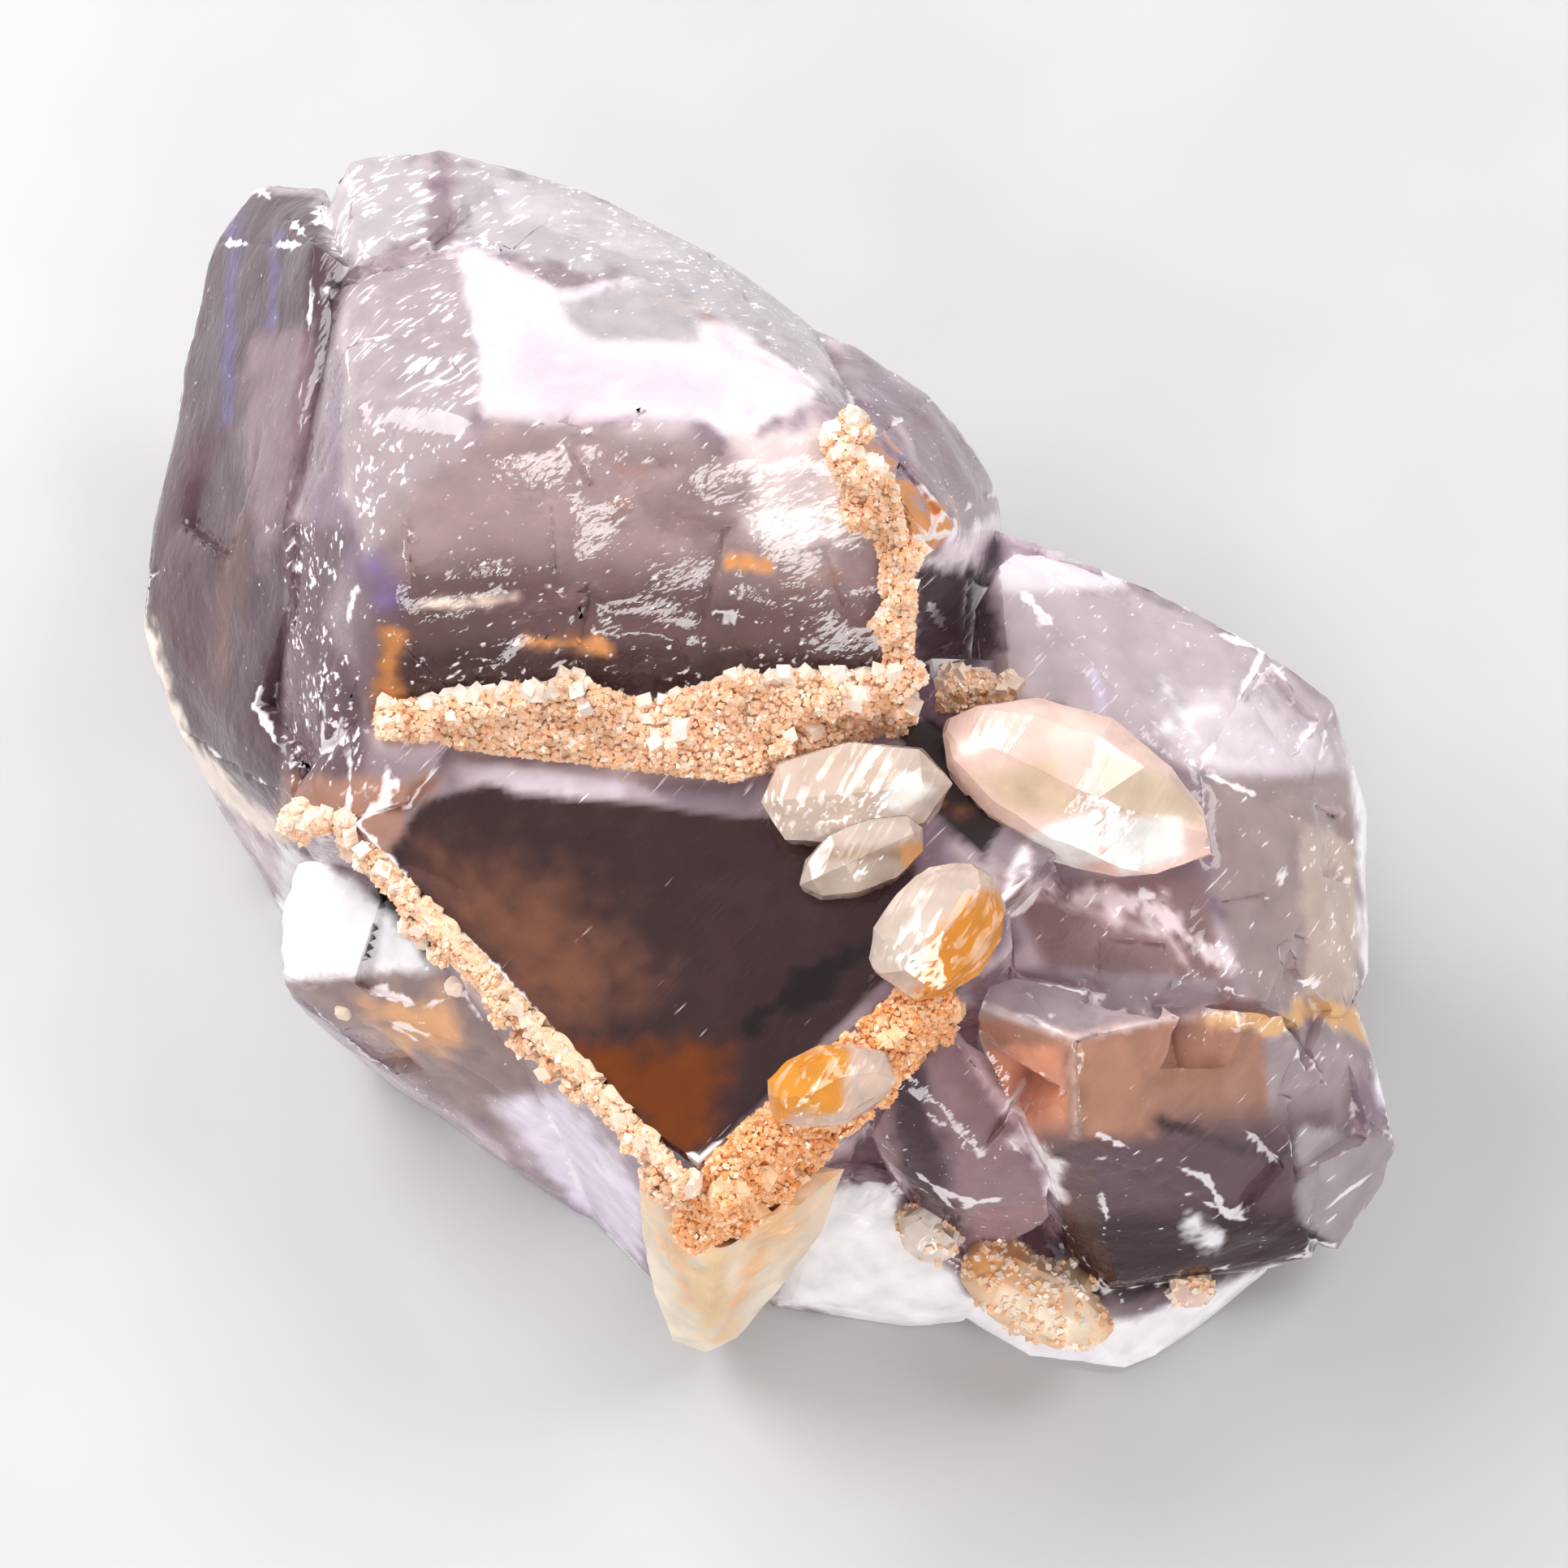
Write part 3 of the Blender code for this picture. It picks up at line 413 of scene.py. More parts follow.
FLUORITE_ZONES = [
    # The left wing, smooth and lilac grey, with its violet streaks, and a pale rim along its lower left edge
    # painted as a highlight
    Zone([(300, 235), (400, 240), (430, 330), (385, 560), (355, 640), (350, 1010), (250, 955), (195, 850),
          (155, 740), (205, 500), (258, 300)], (66, 46, 54), 0.35, 0.14, 0.03, 8, 3),
    Zone([(310, 420), (385, 400), (385, 560), (355, 640), (320, 700), (295, 560)], (126, 96, 108), 0.4, 0.12,
         0.03, 30, 8),
    Zone([(290, 260), (284, 380), (280, 510)], (64, 48, 112), 0.5, 0.12, 0, 24, 8, 3),
    Zone([(342, 290), (335, 400)], (92, 72, 136), 0.5, 0.12, 0, 22, 8, 2),
    Zone([(300, 650), (280, 740), (268, 830)], (92, 56, 52), 0.5, 0.12, 0, 34, 10, 14),
    Zone([(225, 560), (205, 760), (260, 900)], (70, 46, 50), 0.35, 0.14, 0, 50, 10, 26),
    # Painted highlight: the pale rim along the lower left edge
    Zone([(158, 725), (190, 820), (222, 910), (290, 985), (345, 1030)], (255, 236, 222), 0.1, 0.3, 0.3,
         14, 8, 12),
    # The dark strip of fine lines between the wing and the tall block
    Zone([(355, 640), (440, 655), (400, 760), (455, 860), (450, 950), (352, 1000)], (92, 64, 72), 0.6, 0.1,
         1.4, 22, 8),
    # The crumpled chip at the top left: its whitish tint and dense marks are painted glints
    Zone([(395, 225), (440, 185), (530, 190), (520, 290), (440, 335), (400, 290)], (236, 220, 224), 0.5, 0.12,
         1.5, 20, 14),
    Zone([(430, 330), (560, 300), (600, 480), (560, 560), (450, 690), (420, 560)], (236, 206, 210), 0.6, 0.06,
         1.3, 16, 6),
    Zone([(560, 195), (720, 230), (880, 300), (1010, 400), (1000, 460), (800, 350), (640, 320), (560, 290)],
         (240, 228, 236), 0.55, 0.08, 0.9, 22, 12),
    # The white fracture behind the tall block's face, and the grey window in it
    Zone([(560, 295), (600, 312), (640, 330), (690, 360), (740, 350), (790, 345), (720, 372), (760, 350),
          (800, 352), (850, 390), (900, 400), (1012, 470), (1000, 500), (960, 510), (905, 550), (870, 520),
          (800, 512), (740, 515), (680, 525), (595, 515), (590, 440), (575, 370)], (248, 234, 242), 0.2, 0.16,
         0.3, 3, 3),
    Zone([(650, 400), (760, 440), (900, 470), (880, 500), (700, 505), (620, 470)], (244, 216, 230), 0.25,
         0.16, 0.2, 50, 40),
    Zone([(690, 372), (790, 352), (860, 360), (860, 420), (740, 422), (700, 400)], (222, 212, 218), 0.5, 0.08,
         0.3, 14, 6),
    # The front of the tall block, grading down to a dark band above the crust
    Zone([(470, 640), (610, 520), (905, 550), (1060, 560), (1130, 680), (1125, 850), (880, 860), (460, 890)],
         (200, 158, 154), 0.55, 0.06, 0.5, 60, 10),
    Zone([(905, 545), (1000, 510), (1050, 560), (1060, 640), (1000, 700), (930, 650)], (252, 228, 226), 0.15,
         0.12, 0.6, 50, 20),
    Zone([(450, 720), (600, 680), (800, 700), (1060, 740), (1110, 700), (1120, 860), (880, 870), (460, 890)],
         (98, 64, 62), 0.5, 0.06, 0.7, 80, 16),
    Zone([(470, 800), (620, 790), (860, 800), (1080, 800), (1110, 850), (880, 860), (465, 890)],
         (46, 26, 24), 0.5, 0.06, 1.0, 46, 16),
    # A painted violet-blue sheen on the tall block's front
    Zone([(462, 700), (480, 740)], (128, 104, 180), 0.5, 0.06, 0, 50, 12, 10),
    Zone([(480, 790), (478, 880)], (224, 132, 62), 0.3, 0.15, 0.2, 24, 12, 14),
    Zone([(525, 747), (635, 737)], (255, 225, 205), 0.1, 0.2, 0.3, 4, 8, 5),
    Zone([(650, 790), (745, 798)], (240, 160, 96), 0.1, 0.2, 0.3, 6, 10, 9),
    Zone([(900, 690), (945, 700)], (240, 160, 96), 0.1, 0.2, 0.3, 8, 10, 8),
    Zone([(1020, 528), (1075, 540), (1112, 590), (1180, 640), (1165, 690), (1110, 665), (1060, 605),
          (1030, 575)], (224, 146, 84), 0.1, 0.5, 0.4, 14, 24),
    # The flat face of the dark cube, seen as a large V
    Zone([(470, 1050), (520, 985), (600, 965), (760, 985), (930, 1005), (1130, 960), (1130, 1170),
          (850, 1450), (820, 1440), (640, 1240)], (28, 13, 13), 0.5, 0.04, 0.0, 5, 2),
    Zone([(540, 1060), (700, 1100), (780, 1210), (700, 1290), (600, 1180)], (100, 52, 34), 0.4, 0.05, 0.03,
         130, 30),
    Zone([(690, 1280), (900, 1290), (880, 1370), (850, 1430), (790, 1390)], (92, 34, 4), 0.3, 0.05, 0.03,
         50, 20),
    Zone([(905, 1275), (1010, 1170), (1075, 1160), (1000, 1240)], (10, 5, 5), 0.4, 0.04, 0, 24, 26),
    Zone([(560, 945), (780, 945), (770, 985), (640, 978)], (240, 222, 236), 0.35, 0.08, 0.6, 5, 5),
    Zone([(790, 965), (935, 965), (925, 1005), (850, 1000)], (130, 108, 124), 0.6, 0.08, 0.7, 6, 5),
    # Left of the V: the corner under the lip, a white patch painted as the light's reflection on a crystal's
    # top face, and the grey face
    Zone([(350, 960), (450, 955), (540, 960), (480, 1050), (420, 1030), (345, 1030)], (180, 116, 92), 0.5,
         0.1, 0.5, 24, 12),
    Zone([(450, 1080), (500, 1100), (560, 1190), (520, 1210), (455, 1130)], (30, 20, 16), 0.2, 0.2, 0, 10, 8),
    # Painted reflection: the white top face of the crystal left of the V
    Zone([(340, 1040), (440, 1080), (500, 1150), (545, 1205), (440, 1212), (345, 1215)], (255, 252, 255),
         0.05, 0.3, 0.1, 10, 8),
    Zone([(345, 1212), (540, 1195), (640, 1290), (740, 1420), (620, 1400), (480, 1310)], (178, 142, 136),
         0.6, 0.12, 0.1, 14, 6),
    Zone([(440, 1230), (560, 1230), (570, 1290), (500, 1300)], (244, 176, 124), 0.2, 0.15, 0.05, 50, 16),
    Zone([(600, 1350), (700, 1350), (800, 1480), (790, 1560), (680, 1460)], (250, 236, 255), 0.1, 0.2, 0.05,
         30, 8),
    # The upper right block, with a white bridging face whose whiteness is partly a painted highlight
    Zone([(1170, 660), (1260, 620), (1385, 690), (1385, 725), (1230, 740), (1130, 700)], (255, 242, 250),
         0.05, 0.12, 0.4, 14, 8),
    Zone([(1200, 730), (1400, 725), (1560, 800), (1650, 870), (1670, 960), (1500, 960), (1300, 870),
          (1220, 860)], (240, 218, 228), 0.45, 0.07, 0.5, 24, 8),
    Zone([(1440, 860), (1560, 850), (1665, 960), (1560, 970), (1450, 930)], (250, 234, 242), 0.25, 0.1,
         0.5, 40, 14),
    Zone([(1480, 960), (1660, 950), (1690, 1100), (1680, 1260), (1540, 1240), (1500, 1100)], (202, 170, 166),
         0.6, 0.08, 0.4, 20, 10),
    Zone([(1600, 1010), (1670, 1040), (1675, 1220), (1610, 1250)], (228, 198, 178), 0.4, 0.1, 0.9, 12, 6),
    Zone([(1230, 1080), (1480, 1080), (1520, 1240), (1300, 1210)], (160, 108, 104), 0.65, 0.05, 0.4, 20, 6),
    # The small star-shaped fracture and the fine cracks beside the large calcite
    *(Zone([STAR_MIDDLE, tip], (255, 250, 252), 0.1, 0.1, 0, 6, 5, 3) for tip in STAR_TIPS),
    Zone([(1345, 825), (1358, 870)], (236, 222, 255), 0.2, 0.1, 0, 6, 3, 4),
    Zone([(1240, 1100), (1262, 1040), (1270, 1095), (1300, 1085)], (255, 240, 246), 0.1, 0.1, 0, 6, 6, 4),
    Zone([(1265, 1100), (1360, 1130), (1440, 1155), (1500, 1245)], (235, 205, 205), 0.3, 0.1, 0.3, 6, 6, 3),
    Zone([(1300, 1090), (1420, 1120), (1500, 1180)], (250, 225, 230), 0.2, 0.1, 1.0, 14, 20, 10),
    # The lower right crystals
    Zone([(1180, 1200), (1320, 1190), (1500, 1210), (1500, 1260), (1320, 1280), (1190, 1250)],
         (206, 180, 198), 0.65, 0.05, 0.2, 10, 4),
    Zone([(1190, 1250), (1320, 1270), (1500, 1240), (1560, 1270), (1570, 1420), (1330, 1440), (1260, 1420)],
         (196, 118, 86), 0.55, 0.05, 0.15, 18, 8),
    Zone([(1215, 1290), (1310, 1290), (1320, 1400), (1265, 1400)], (236, 144, 108), 0.3, 0.05, 0.1, 16, 6),
    Zone([(1560, 1270), (1650, 1250), (1680, 1300), (1650, 1420), (1570, 1400)], (200, 172, 176), 0.6, 0.06,
         0.6, 10, 8),
    Zone([(1290, 1400), (1650, 1360), (1660, 1520), (1640, 1545), (1290, 1610)], (70, 44, 50), 0.6, 0.05,
         0.3, 60, 10),
    Zone([(1280, 1500), (1640, 1480), (1640, 1550), (1400, 1612), (1290, 1590)], (26, 6, 8), 0.4, 0.05, 0.2,
         40, 10),
    Zone([(1075, 1260), (1180, 1230), (1240, 1380), (1310, 1470), (1290, 1600), (1180, 1560), (1070, 1420)],
         (172, 126, 134), 0.55, 0.06, 0.5, 12, 6),
    Zone([(1090, 1290), (1130, 1280), (1170, 1440), (1200, 1560), (1110, 1480)], (46, 28, 36), 0.5, 0.06, 0.3,
         30, 16),
    Zone([(1170, 1225), (1215, 1330), (1270, 1410), (1308, 1480)], (250, 218, 232), 0.3, 0.15, 0.3, 8, 8, 7),
    Zone([(1500, 1250), (1570, 1262), (1640, 1240), (1682, 1280)], (236, 180, 122), 0.2, 0.15, 0.5, 12, 14,
         12),
    Zone([(1190, 1232), (1322, 1278), (1500, 1243)], (255, 236, 240), 0.2, 0.1, 0, 5, 3, 3),
    Zone([(1322, 1278), (1326, 1400)], (240, 206, 190), 0.3, 0.1, 0, 5, 3, 2.5),
    Zone([(1300, 1425), (1420, 1380), (1560, 1425), (1660, 1395)], (40, 24, 28), 0.4, 0.1, 0, 10, 10, 4),
    Zone([(1330, 1290), (1400, 1275), (1420, 1400), (1335, 1400)], (206, 132, 98), 0.4, 0.05, 0.1, 24, 8),
    Zone([(1600, 1390), (1735, 1405), (1715, 1450), (1655, 1540), (1600, 1500)], (216, 200, 208), 0.65, 0.07,
         0.4, 14, 6),
    # Painted highlights: white streaks where facets reflect the light
    Zone([(1255, 1405), (1300, 1440), (1300, 1480)], (255, 250, 252), 0.05, 0.2, 0, 5, 12, 9),
    Zone([(1470, 1510), (1495, 1525)], (250, 244, 250), 0.1, 0.2, 0, 6, 14, 12),
    # The base and the right rim, painted white as milky fluorite: partly their own milky colour, partly a
    # painted highlight of strong light
    Zone([(950, 1600), (1010, 1480), (1075, 1430), (1120, 1500), (1200, 1600), (1300, 1640), (1150, 1660)],
         (255, 252, 255), 0.05, 0.3, 0.05, 14, 6),
    Zone([(1180, 1640), (1400, 1625), (1560, 1560), (1640, 1548), (1690, 1560), (1500, 1700), (1300, 1720),
          (1180, 1680)], (255, 250, 255), 0.05, 0.3, 0.05, 10, 6),
    Zone([(1652, 870), (1672, 1000), (1680, 1260), (1700, 1360), (1730, 1380), (1730, 1100), (1700, 880)],
         (255, 250, 255), 0.05, 0.3, 0.05, 12, 6),
    # Painted shade in the gaps between the crystals
    Zone([(1130, 700), (1200, 700), (1240, 800), (1190, 845), (1130, 840)], (64, 54, 58), 0.4, 0.2, 0.6, 20,
         14),
    Zone([(1140, 880), (1220, 930), (1240, 1010), (1210, 1060), (1140, 1000), (1105, 900)], (32, 22, 22), 0.3,
         0.2, 0.1, 14, 10),
    Zone([(1150, 985), (1190, 1000)], (150, 84, 44), 0.3, 0.2, 0.1, 26, 14, 2),
    Zone([(1105, 1255), (1140, 1245), (1150, 1300), (1110, 1315)], (22, 10, 9), 0.2, 0.2, 0, 10, 6),
]


def outline_distance(places, points):
    """Signed distance in pixels to a closed outline, above zero inside."""
    inside = np.zeros(len(places), bool)
    nearest = np.full(len(places), np.inf)
    corners = np.array(points, float)
    for start, end in zip(corners, np.roll(corners, -1, axis=0)):
        nearest = np.minimum(nearest, segment_distance(places, start, end))
        crosses = (start[1] > places[:, 1]) != (end[1] > places[:, 1])
        rise = end[1] - start[1]
        if rise != 0:
            reach = start[0] + (places[:, 1] - start[1]) * (end[0] - start[0]) / rise
            inside ^= crosses & (places[:, 0] < reach)
    return np.where(inside, nearest, -nearest)


def segment_distance(places, start, end):
    along = end - start
    share = np.clip((places - start) @ along / max(along @ along, 1e-9), 0, 1)
    return np.linalg.norm(places - start - share[:, None] * along, axis=1)


def streak_distance(places, points, width):
    corners = np.array(points, float)
    lengths = [segment_distance(places, start, end) for start, end in zip(corners[:-1], corners[1:])]
    return width - np.min(lengths, axis=0)


def in_view(points, normals, tree):
    """Which points the camera sees."""
    seen = []
    for point, normal in zip(points, normals):
        point, normal = Vector(point), Vector(normal)
        towards = (EYE - point).normalized()
        if normal.dot(towards) < 0.02:
            seen.append(False)
            continue
        hit = tree.ray_cast(point + normal * 0.05 * MM, towards)[0]
        seen.append(hit is None)
    return np.array(seen)


def fading(seen, mesh):
    """One on the seen points, falling off over their unseen neighbours."""
    ends = np.empty(len(mesh.edges) * 2, np.int64)
    mesh.edges.foreach_get("vertices", ends)
    first, second = ends.reshape(-1, 2).T
    number = len(seen)
    neighbours = np.maximum(np.bincount(ends, minlength=number), 1)
    weight = seen.astype(float)
    for _ in range(FADE_PASSES):
        total = np.bincount(first, weight[second], number) + np.bincount(second, weight[first], number)
        weight = np.maximum(seen, total / neighbours)
    return weight


def broad_mix(points, shift, low, high):
    """A weight from 0 to 1 that follows broad clouds."""
    values = np.array([noise.fractal(Vector(point) / BROAD_CLOUDS + shift, 1.0, 2.0, 3) for point in points])
    return np.clip((values - low) / (high - low), 0, 1)[:, None]


def paint(mesh, look, zones, variants=()):
    """Writes the tint, clearness, haze and marks of the zones to the mesh's points."""
    points, normals = point_arrays(mesh)
    seen = fading(in_view(points, normals, surface_tree(mesh)), mesh)
    places = picture_places(points)
    rough = np.array([noise.fractal(Vector(point) / (1.1 * MM), 1.0, 2.0, 4) for point in points])
    values = np.tile(look_values(look), (len(points), 1))
    for number, variant in enumerate(variants):
        share = broad_mix(points, Vector((number * 7.3, 0, 0)), 0.05, 0.35)
        values = values * (1 - share) + look_values(variant) * share
    for zone in zones:
        if zone.width:
            inside = streak_distance(places, zone.points, zone.width)
        else:
            inside = outline_distance(places, zone.points)
        weight = np.clip(0.5 + (inside + rough * zone.ragged) / max(zone.feather, SOFTEST_STEP), 0, 1)
        weight = (weight * weight * (3 - 2 * weight) * seen)[:, None]
        target = look_values(zone)
        values = values * (1 - weight) + target * weight
    values[:, :3] *= 1 + CLOUDS * rough[:, None]
    values[:, 5] *= np.clip(0.7 + rough * 1.2, 0, 1.3)
    write_look(mesh, values)


def look_values(zone):
    """Light crosses a clear surface twice or more, so that its tint is thinned."""
    tint = colour(*zone.tint) ** (1 - THINNED * zone.clearness)
    return np.array([*tint, zone.clearness, zone.haze, zone.marks])


def write_look(mesh, values):
    tints = np.concatenate([values[:, :3], np.ones((len(values), 1))], axis=1)
    layer = mesh.attributes.new("tint", "FLOAT_COLOR", "POINT")
    layer.data.foreach_set("color", tints.astype(np.float32).ravel())
    for name, column in (("clearness", 3), ("haze", 4), ("marks", 5)):
        layer = mesh.attributes.new(name, "FLOAT", "POINT")
        layer.data.foreach_set("value", values[:, column].astype(np.float32))


def point_arrays(mesh):
    points = np.empty(len(mesh.vertices) * 3)
    normals = np.empty(len(mesh.vertices) * 3)
    mesh.vertices.foreach_get("co", points)
    mesh.vertices.foreach_get("normal", normals)
    return points.reshape(-1, 3), normals.reshape(-1, 3)


def surface_tree(mesh):
    """The mesh's faces, ready for rays and nearest points."""
    points, _ = point_arrays(mesh)
    faces = [tuple(face.vertices) for face in mesh.polygons]
    return BVHTree.FromPolygons([tuple(point) for point in points], faces)


# Shapes


def whole_faces(name):
    """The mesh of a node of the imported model, with its flat faces whole and its sharp edges marked."""
    bm = bmesh.new()
    bm.from_mesh(frame["nodes"][name].data)
    bmesh.ops.remove_doubles(bm, verts=bm.verts, dist=MERGE_DISTANCE)
    bmesh.ops.dissolve_limit(bm, angle_limit=FLAT_ANGLE, verts=bm.verts, edges=bm.edges)
    mark_sharp(bm)
    return bm


def mark_sharp(bm):
    for face in bm.faces:
        face.smooth = True
    for edge in bm.edges:
        edge.smooth = edge.calc_face_angle(0) < SHARP_ANGLE


def refine(bm, longest_front, longest_back):
    """Splits long edges, finer on the side that the camera sees."""
    bmesh.ops.triangulate(bm, faces=bm.faces)
    for _ in range(REFINE_PASSES):
        bm.normal_update()
        long = []
        for edge in bm.edges:
            front = any(face.normal.dot(AHEAD) < 0.05 for face in edge.link_faces)
            if edge.calc_length() > (longest_front if front else longest_back):
                long.append(edge)
        if not long:
            break
        bmesh.ops.subdivide_edges(bm, edges=long, cuts=1)
        bmesh.ops.triangulate(bm, faces=[face for face in bm.faces if len(face.verts) > 3])


def new_piece(name, bm, material, slot, *replaced):
    data = bpy.data.meshes.new(name)
    bm.to_mesh(data)
    bm.free()
    piece = bpy.data.objects.new(name, data)
    data.materials.append(material)
    bpy.context.scene.collection.objects.link(piece)
    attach(piece, BODY)
    if replaced:
        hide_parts(*replaced)
    return piece


DARK_FACE_HEIGHT = 20.0 * MM
FLUORITE_EDGE_FRONT = 0.45 * MM
FLUORITE_EDGE_BACK = 1.5 * MM
WEAR_REACH = 0.7 * MM


def terraces(point, size, turn):
    """Cleavage steps: a broad noise cut into levels, each with a short steep riser."""
    place = turn @ point / size
    value = noise.fractal(Vector((place.x * 0.35, place.y, place.z)), 1.0, 2.0, 2) * 4
    level = math.floor(value)
    share = value - level
    return level + min(share / 0.25, 1.0)


# Smooth faces in the picture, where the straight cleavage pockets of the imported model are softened
SOFTENED = [
    [(440, 520), (620, 500), (1010, 520), (1130, 640), (1130, 860), (440, 890)],
    [(225, 340), (335, 300), (340, 560), (320, 640), (310, 900), (240, 880), (185, 740)],
    [(570, 225), (700, 250), (820, 310), (950, 400), (1010, 480), (900, 530), (600, 530), (580, 300)],
    [(450, 340), (600, 310), (610, 530), (480, 660), (440, 560)],
    [(1330, 1120), (1460, 1080), (1590, 1085), (1590, 1205), (1460, 1240), (1330, 1240)],
    [(1600, 975), (1690, 975), (1690, 1230), (1600, 1230)],
]
SOFTENED_PASSES = 40


def soften(bm):
    """Evens out the small pockets of the smooth faces."""
    verts = list(bm.verts)
    places = picture_places(np.array([vert.co for vert in verts]))
    inside = np.max([outline_distance(places, outline) for outline in SOFTENED], axis=0) > 0
    picked = [vert for vert, chosen in zip(verts, inside) if chosen and vert.normal.dot(AHEAD) < -0.3]
    for _ in range(SOFTENED_PASSES):
        bmesh.ops.smooth_vert(
            bm, verts=picked, factor=0.5, use_axis_x=True, use_axis_y=True, use_axis_z=True)
    kept = set(picked)
    for edge in bm.edges:
        if edge.verts[0] in kept and edge.verts[1] in kept:
            edge.smooth = True


def fluorite_relief(bm):
    """Raises and lowers the faces as broken and cleaved fluorite has them, and wears its edges; how worn each
    point is, kept on the mesh, also whitens the edges in the material, partly as a painted edge highlight.
    """
    bm.normal_update()
    edges = [vert for edge in bm.edges if not edge.smooth for vert in edge.verts]
    sharp_edge_tree = KDTree(len(edges))
    for index, vert in enumerate(edges):
        sharp_edge_tree.insert(vert.co, index)
    sharp_edge_tree.balance()
    turn = Matrix.Rotation(math.radians(35), 3, "Z") @ Matrix.Rotation(math.radians(25), 3, "X")
    wear_and_highlight_layer = bm.verts.layers.float.new("wear_and_edge_highlight")
    moves = []
    for vert in bm.verts:
        point, normal = vert.co, vert.normal
        flat = 0.08 if normal.z > 0.98 and abs(point.z - DARK_FACE_HEIGHT) < 0.3 * MM else 1.0
        broad = noise.fractal(point / (5.0 * MM), 1.0, 2.0, 2) * 0.14 * MM
        steps = terraces(point, 4.0 * MM, turn) * 0.035 * MM
        near = sharp_edge_tree.find(point)[2]
        wear_and_edge_highlight = max(0.0, 1 - near / WEAR_REACH) ** 2
        # Kept for the material, where it whitens the edges: partly chipped frosting, partly a painted edge
        # highlight
        vert[wear_and_highlight_layer] = wear_and_edge_highlight * min(max(0.1 + 0.75 * noise.noise(point / (3 * MM)), 0), 0.45)
        chip = wear_and_edge_highlight * (0.10 + 0.22 * max(0.0, noise.noise(point / (0.8 * MM)))) * MM
        base = min(max(point.z / (1.5 * MM), 0.0), 1.0)
        moves.append(normal * ((broad + steps) * flat - chip * (0.4 if flat < 1 else 1.0)) * base)
    for vert, move in zip(bm.verts, moves):
        vert.co += move


def fluorite(material):
    bm = whole_faces("fluorite_cluster")
    refine(bm, FLUORITE_EDGE_FRONT, FLUORITE_EDGE_BACK)
    soften(bm)
    fluorite_relief(bm)
    piece = new_piece("fluorite_crystals", bm, material, "fluorite", "fluorite_cluster")
    paint(piece.data, FLUORITE_LOOK, FLUORITE_ZONES, (MILKY_FLUORITE_LOOK, VIOLET_FLUORITE_LOOK))
    return piece


def nestle(bm, ground):
    """Moves the underside of a piece just into the fluorite that it grew on."""
    for vert in bm.verts:
        place, normal, _, distance = ground.find_nearest(vert.co)
        if distance < CONTACT_REACH and (place - vert.co).dot(vert.normal) > 0.3 * distance:
            vert.co = place - normal * CONTACT_DEPTH


# Sugary crusts


class Crust(NamedTuple):
    """How the grains of a crust look."""

    count: int
    least: float
    most: float
    tints: list
    tips: tuple
    shrink: float = 0.1


PEACH = [(255, 224, 196), (255, 212, 178), (255, 234, 212), (255, 204, 164), (252, 208, 170)]
ORANGE = [(255, 206, 158), (254, 188, 128), (255, 220, 184), (250, 174, 106), (252, 196, 142)]
CRUSTS = {
    "druse_ledge": Crust(9000, 0.10, 0.26, PEACH, (255, 242, 230)),
    "druse_saddle": Crust(1000, 0.10, 0.26, PEACH, (255, 232, 212)),
    "druse_left_edge": Crust(3600, 0.10, 0.26, PEACH, (255, 234, 216), 0.3),
    "druse_lip": Crust(1000, 0.10, 0.26, PEACH, (255, 230, 210)),
    "druse_right_edge": Crust(8000, 0.10, 0.24, ORANGE, (255, 214, 170)),
}
COATING_TINTS = [(255, 236, 216), (255, 222, 194), (252, 204, 160), (255, 244, 232)]
# Grains on the single crystals, by number
COATED = {"calcite_coated": 900, "calcite_bud": 160, "calcite_grain": 120}
# Round beads beside the left crust: place and radius in picture pixels
BEADS = {"druse_left_edge": [(520, 1160, 11), (560, 1216, 13), (424, 1246, 12)]}
RHOMB_ACUTE = 0.22
TIP_SIZE = 2.4
TIP_SHARE = 0.22
CRUST_EDGE = 0.4 * MM
BURIED_DEPTH = 0.3 * MM
COATING_GRAIN_LEAST = 0.12
COATING_GRAIN_MOST = 0.3
COATING_PATCH = 0.9 * MM


def rhomb_corners():
    """A small calcite rhomb: a cube sheared along its three edges."""
    corners = []
    for index in range(8):
        corner = Vector([(index >> axis & 1) - 0.5 for axis in range(3)])
        corners.append(corner + Vector((corner.y, corner.z, corner.x)) * RHOMB_ACUTE)
    return corners


RHOMB = rhomb_corners()
RHOMB_FACES = [(0, 2, 3, 1), (4, 5, 7, 6), (0, 1, 5, 4), (2, 6, 7, 3), (0, 4, 6, 2), (1, 3, 7, 5)]


def surface_spots(bm, count, rng):
    """Random points on the faces, spread by area, with their face's normal."""
    bmesh.ops.triangulate(bm, faces=bm.faces)
    faces = list(bm.faces)
    picked = rng.choices(faces, [face.calc_area() for face in faces], k=count)
    spots = []
    for face in picked:
        first, second = sorted((rng.random(), rng.random()))
        a, b, c = (vert.co for vert in face.verts)
        spots.append((a * first + b * (second - first) + c * (1 - second), face.normal.copy()))
    return spots


def add_grain(bm, tint_layer, place, size, tint, rng):
    turn = Quaternion((rng.gauss(0, 1), rng.gauss(0, 1), rng.gauss(0, 1), rng.gauss(0, 1))).normalized()
    made = []
    for corner in RHOMB:
        vert = bm.verts.new(place + turn @ corner * size)
        vert[tint_layer] = (*(tint * rng.uniform(0.92, 1.06)), 1)
        made.append(vert)
    for face in RHOMB_FACES:
        bm.faces.new([made[index] for index in face])


